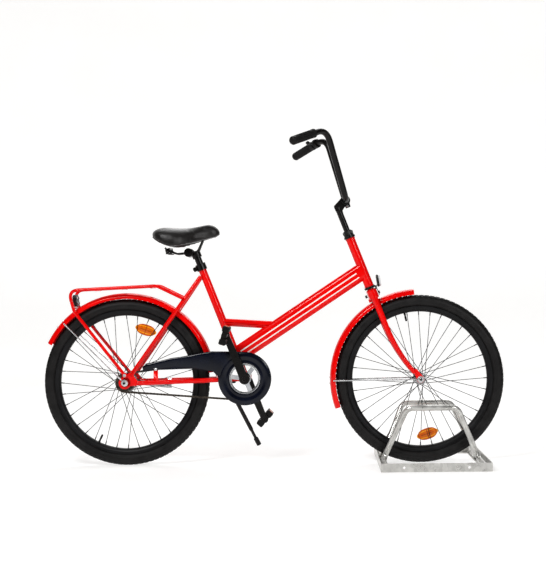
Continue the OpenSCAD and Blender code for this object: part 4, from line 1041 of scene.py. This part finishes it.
for side, node in ((-1, "right_pedal"), (1, "left_pedal")):
    centre, x, y, z = pedal_frame(side)
    treads = [tread_bar(centre, x, y, z, shift) for shift in (-23.2, 23.2)]
    piece(node + "_treads", joined(*treads), soft_rubber, node)
    barrel = sweep([centre + (PEDAL_IN + s) * y for s in (0, 8, 10, 66, 68, PEDAL_W)],
                   [10.5, 10.5, 8.6, 8.6, 10.5, 10.5], 24)
    plates = [end_plate(centre, x, y, z, out) for out in (PEDAL_IN - 0.2, PEDAL_IN + PEDAL_W - 2.4)]
    piece(node + "_cage", joined(barrel, *plates), powder, node, False)
    lenses = [block(centre + (shift - 1.6) * x + (PEDAL_IN + 14) * y - 7.5 * z, (3.2, 48, 15), x, y, z)
              for shift in (-33.2, 33.2)]
    eased(piece(node + "_reflectors", joined(*lenses), amber, node, False), 0.8)

# %% [markdown]
# ## Chain guard
# The guard is one moulding: a dished ring round the crank and a tapering arm over the top run. The
# model's flat plate keeps its hole and its rim, and a crowned skin stands on its face.

# %% Chain guard
refined("chain_guard", guard_plastic, 1.0)
GUARD_FACE, HOLE_R = -56.0, 56.0
crown = [(-0.5, 0.5), (-0.5, -2.6), (1.5, -3.4), (5, -3.4), (8, -1.9), (11, -1.7),
         (18, -3.2), (25, -3.6), (31, -3.0), (36, -1.4), (38.6, 0.4)]
ring = turned([(HOLE_R + r, GUARD_FACE + y) for r, y in crown], crank_axle, steps=120)


def at_x(edge, x):
    """Height of an edge, given as (x, z) points from right to left, at a place along it."""
    for (xa, za), (xb, zb) in zip(edge, edge[1:]):
        if xb <= x <= xa:
            return za + (zb - za) * (xa - x) / max(xa - xb, 1e-6)
    return edge[-1][1]


def arm_skin():
    """The crowned face of the arm: one rounded section at each of many places along it."""
    drop, tail = rear.z - crank_axle.z, span.x
    top = [(-18, 93), (-60, 97), (-90, 98.5), (-119, 98.5), (-160, 94), (-201, 85.5), (-260, 78.5),
           (tail + 91, drop + 70.5), (tail + 79, drop + 68.5), (tail + 70, drop + 61),
           (tail + 65.5, drop + 55)]
    low = [(-18, 72.8), (-40, 63.4), (-60, 45), (-72, 24), (-80, 12), (-88, 6), (-96, 14), (-112, 26.6),
           (-150, 34), (-183, 38.8), (-250, 45), (tail + 113, drop + 45.5), (tail + 72, drop + 40),
           (tail + 65.5, drop + 45)]
    profile = ((0.8, 0.0), (1.2, 1.6), (2.6, 3.0), (5.5, 3.9), (10.0, 4.2))
    stations = [-18 + (tail + 66 + 18) * k / 70 for k in range(71)]
    verts = []
    for x in stations:
        high_z, low_z = at_x(top, x), at_x(low, x)
        squeeze = min(1.0, 0.46 * (high_z - low_z) / profile[-1][0])
        row = [(high_z - inset * squeeze, lift * squeeze ** 0.5) for inset, lift in profile]
        row += [(low_z + inset * squeeze, 0.75 * lift * squeeze ** 0.5) for inset, lift in reversed(profile)]
        verts += [crank_axle + Vector((x, GUARD_FACE + 0.2 - lift, z)) for z, lift in row]
    return lofted(verts, 2 * len(profile))


piece("chain_guard_crown", joined(ring, arm_skin()), guard_plastic, "chain_guard", False, angle=60)
screw_at = Vector((rear.x + 111, GUARD_FACE - 3.2, rear.z + 48))
screw = sweep([screw_at + Vector((0, -y, 0)) for y in (0, 1.4, 2.4, 2.9)], [4.8, 4.8, 3.6, 1.4], 18)
piece("chain_guard_screw", screw, plated, "frame_screws", False)

# %% [markdown]
# ## Kickstand
# A forged leg with a rubber boot, pivoted on a pin in the bracket.

# %% Kickstand
refined("kickstand_bracket", powder, 0.6)
refined("kickstand_leg", powder, 0.4)
refined("kickstand_foot", soft_rubber, 1.0)

# %% [markdown]
# ## Seat post, clamp, rails
# The clamp's bolts and the spring coils under the back of the saddle are what shows below the cover.

# %% Seat hardware
refined("seat_post", powder, 0.4)
refined("seat_clamp", powder, 0.6)
refined("saddle_clamp", powder, 0.8)
seat_top = on_seat(0, 0, 488)
rail = [seat_top + Vector(p) for p in ((30, 8, 45), (10, 22, 1), (-64, 22, -6), (-98, 40, 8), (-104, 44, 16))]
piece("saddle_rails_bent", both(sweep(bent(rail, 14), 3.5, 16)), powder, "saddle_rails")
nut_at = seat_top + Vector((-22, 0, -2))
nut = [(6.0, 28.0), (15.0, 28.0), (16.0, 29.0), (16.0, 35.0), (14.5, 36.6), (5.0, 37.2), (3.0, 37.2)]
piece("saddle_clamp_nuts", both(turned(nut, nut_at, steps=24)), powder, "saddle_clamp", False)


def coil(foot, top, radius, wire, turns):
    """A compression spring between two points."""
    way = (top - foot)
    side = way.orthogonal().normalized()
    other = way.normalized().cross(side)
    steps = 18 * turns
    path = []
    for k in range(steps + 1):
        t, a = k / steps, 2 * math.pi * turns * k / steps
        path.append(foot + way * t + radius * (math.cos(a) * side + math.sin(a) * other))
    return sweep(path, wire, 8)


spring_foot = seat_top + Vector((-92, 36, -4))
spring = coil(spring_foot, spring_foot + Vector((-4, 3, 17)), 9.0, 1.7, 4)
cup = sweep([spring_foot + Vector((0, 0, h)) for h in (-3.5, -2.5, 0)], [8.5, 11.5, 11.5], 20)
piece("saddle_springs", both(joined(spring, cup)), powder, "saddle_rails", False)

# %% [markdown]
# ## Saddle
# The cover is foam under vinyl. It starts as a loft through a dozen sections that gives the plan, the
# raised nose and the hanging skirt, and cloth with a little pressure inside then rounds it, as foam does.

# %% Saddle shape
# Each station: place along the saddle, half width, top, lowest edge of the skirt
STATIONS = ((-426, 34, 835, 824), (-421, 58, 843, 817), (-410, 78, 849, 808), (-394, 91, 852, 798),
            (-372, 98, 852, 788), (-345, 98, 850, 784), (-318, 90, 848, 787), (-292, 73, 849, 793),
            (-268, 54, 852, 799), (-244, 41, 857, 806), (-222, 33, 861, 812), (-203, 28, 860, 817),
            (-190, 21, 853, 822), (-180, 12, 841, 827))


def saddle_floor(x):
    """The shell's top face, which the foam rests on."""
    return seat_top.z + 36 + (x - seat_top.x + 30) * math.tan(math.radians(7.7)) + 0.4


def saddle_section(x, half, top, skirt, n=16):
    """One closed loop: over the top, down to the skirt, and back along the shell."""
    loop = []
    for k in range(n + 1):
        a = math.pi * (k / n - 0.5)
        y = half * math.copysign(abs(math.sin(a)) ** 0.86, math.sin(a))
        loop.append(Vector((x, y, skirt + (top - skirt) * math.cos(a) ** 0.55 if k not in (0, n) else skirt)))
    floor = max(skirt + 1.0, saddle_floor(x))
    inner = half - min(9, half * 0.4)
    back = [Vector((x, inner * s, skirt + 0.5 if abs(s) == 1 else floor))
            for s in (1, 0.94, 0.4, -0.4, -0.94, -1)]
    return loop + back


def saddle_loft():
    rows = [saddle_section(*s) for s in STATIONS]
    return lofted([p for row in rows for p in row], len(rows[0]))


def shell_loft():
    """The moulded shell: a thin tray that follows the foam's underside, inside the skirt."""
    verts = []
    for x, half, top, skirt in STATIONS[1:-1]:
        low_z = max(skirt + 1.5, saddle_floor(x) - 3.5)
        reach = half - min(7, half * 0.35)
        high_z = low_z + 3
        verts += [Vector((x, y, z)) for y, z in
                  ((-reach, low_z), (reach, low_z), (reach, high_z), (-reach, high_z))]
    return lofted(verts, 4)


piece("saddle_shell", shell_loft(), shell_plastic, "saddle_base")
cushion = raw("saddle_cover", saddle_loft())

# %% Fill the saddle
VOXEL, PUFF, SWELL = 0.0045, 4.0, 0.004
remesh = cushion.modifiers.new("even", "REMESH")
remesh.mode = "VOXEL"
remesh.voxel_size = VOXEL
bpy.context.view_layer.objects.active = cushion
bpy.ops.object.modifier_apply(modifier="even")
smooth = cushion.modifiers.new("smooth", "SMOOTH")
smooth.iterations = 6
bpy.ops.object.modifier_apply(modifier="smooth")
start = [v.co.copy() for v in cushion.data.vertices]
cloth = cushion.modifiers.new("foam", "CLOTH")
cloth.settings.use_pressure = True
cloth.settings.uniform_pressure_force = PUFF
cloth.settings.effector_weights.gravity = 0.0
cloth.settings.quality = 5
cloth.point_cache.frame_start = 1
cloth.point_cache.frame_end = 20
for step_number in range(1, 21):
    bpy.context.scene.frame_set(step_number)
bpy.ops.object.modifier_apply(modifier="foam")
bpy.context.scene.frame_set(1)
for vertex, was in zip(cushion.data.vertices, start):
    move = vertex.co - was
    if was.z / MM < saddle_floor(was.x / MM) + 3:
        move = Vector((0, 0, 0))
    vertex.co = was + move * min(1.0, SWELL / max(move.length, 1e-9))
subdivide = cushion.modifiers.new("even_skin", "SUBSURF")
subdivide.levels = subdivide.render_levels = 1
bpy.ops.object.modifier_apply(modifier="even_skin")
dress(cushion, vinyl, "saddle", "saddle_cushion", angle=70)
print("saddle", len(cushion.data.polygons), "faces")

# %% [markdown]
# ## Floor stand
# Hoops of galvanised tube are welded inside a frame of angle bar.

# %% Floor stand
refined("stand_base", zinc, 0.8)
low, high = (Vector(c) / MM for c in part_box("stand_base"))
stand_mid = (low + high) / 2
foot_x = (high.x - low.x) / 2 - 19
hoop_line = [(foot_x, -high.y + 3.3, 13), (foot_x, -27, 13), (foot_x - 82, -108, 204)]
hoop_half = [Vector((stand_mid.x + x, y, z)) for x, y, z in hoop_line]
hoop_line = [Vector((2 * stand_mid.x - p.x, p.y, p.z)) for p in hoop_half] + hoop_half[::-1]
hoop = sweep(bent(hoop_line, 34, 12), 10.0, 28)
piece("stand_hoops_bent", both(hoop), zinc, "stand_hoops")

# %% [markdown]
# ## Floor and light
# A pale paper floor curves up far behind, so that a camera on the other side of the bicycle still stands
# in front of the wall. Two soft lamps light it from the front and a wider one from above and behind. The
# sky gives hardly any light. The white of the paper does, as in a shop's photo corner.

# %% Floor and light
floor_mesh = bpy.data.meshes.new("studio_floor")
sweep_back = [(-9, 0.0), (6.4, 0.0), (7.1, 0.12), (7.6, 0.5), (7.8, 1.1), (7.8, 9.0)]
floor_points = [(x, y, z) for y, z in sweep_back for x in (-12, 12)]
floor_mesh.from_pydata(floor_points, [], [(2 * i, 2 * i + 1, 2 * i + 3, 2 * i + 2) for i in range(5)])
floor = bpy.data.objects.new("studio_floor", floor_mesh)
bpy.context.scene.collection.objects.link(floor)
floor_mesh.shade_smooth()
paper = finish("white_paper", "#BCBCBC", "#B6B5B4", (0.85, 0.95), 400, 2.0, 0.01,
               Emission_Color=(1.0, 0.995, 0.985, 1.0), Emission_Strength=0.58)
# The paper's own glow rises towards the far wall, where the lamps hardly reach.
depth = add(paper.node_tree, "ShaderNodeSeparateXYZ",
            inputs={"Vector": add(paper.node_tree, "ShaderNodeTexCoord").outputs["Object"]})
glow = add(paper.node_tree, "ShaderNodeMapRange", inputs={
    "Value": depth.outputs["Y"], "From Min": 1.5, "From Max": 6.5, "To Min": 0.58, "To Max": 0.80})
paper.node_tree.links.new(glow.outputs["Result"],
                          paper.node_tree.nodes["Principled BSDF"].inputs["Emission Strength"])
floor_mesh.materials.append(paper)


def lamp(name, place_at, aim, size, power):
    data = bpy.data.lights.new(name, "AREA")
    data.size, data.energy = size, power
    obj = bpy.data.objects.new(name, data)
    bpy.context.scene.collection.objects.link(obj)
    obj.location = place_at
    obj.rotation_euler = (Vector(aim) - Vector(place_at)).to_track_quat("-Z", "Y").to_euler()


lamp("key", (-1.6, -3.0, 3.6), (0, 0, 0.5), 1.3, 140)
lamp("fill", (2.6, -3.4, 2.2), (0, 0, 0.5), 1.2, 60)
lamp("back", (0.4, 2.4, 3.4), (0, 0, 0.3), 3.0, 90)
world = bpy.data.worlds.new("studio")
world.use_nodes = True
sky = world.node_tree
way = add(sky, "ShaderNodeSeparateXYZ", inputs={
    "Vector": add(sky, "ShaderNodeTexCoord").outputs["Generated"]})
bright_side = add(sky, "ShaderNodeMapRange", inputs={
    "Value": way.outputs["Y"], "From Min": -0.7, "From Max": 0.3, "To Min": 0.45, "To Max": 1.05})
sky.links.new(bright_side.outputs["Result"], sky.nodes["Background"].inputs["Strength"])
# Past the edge of the paper the eye meets a pale wall, which gives no light of its own.
surround = add(sky, "ShaderNodeBackground", inputs={"Color": linear("#D6D6D4"), "Strength": 1.0})
seen = add(sky, "ShaderNodeMixShader", inputs={
    0: add(sky, "ShaderNodeLightPath").outputs["Is Camera Ray"],
    1: sky.nodes["Background"].outputs[0], 2: surround.outputs[0]})
sky.links.new(seen.outputs[0], sky.nodes["World Output"].inputs["Surface"])
bpy.context.scene.world = world
bpy.context.scene.view_settings.view_transform = "Standard"

# %% Import json
import json
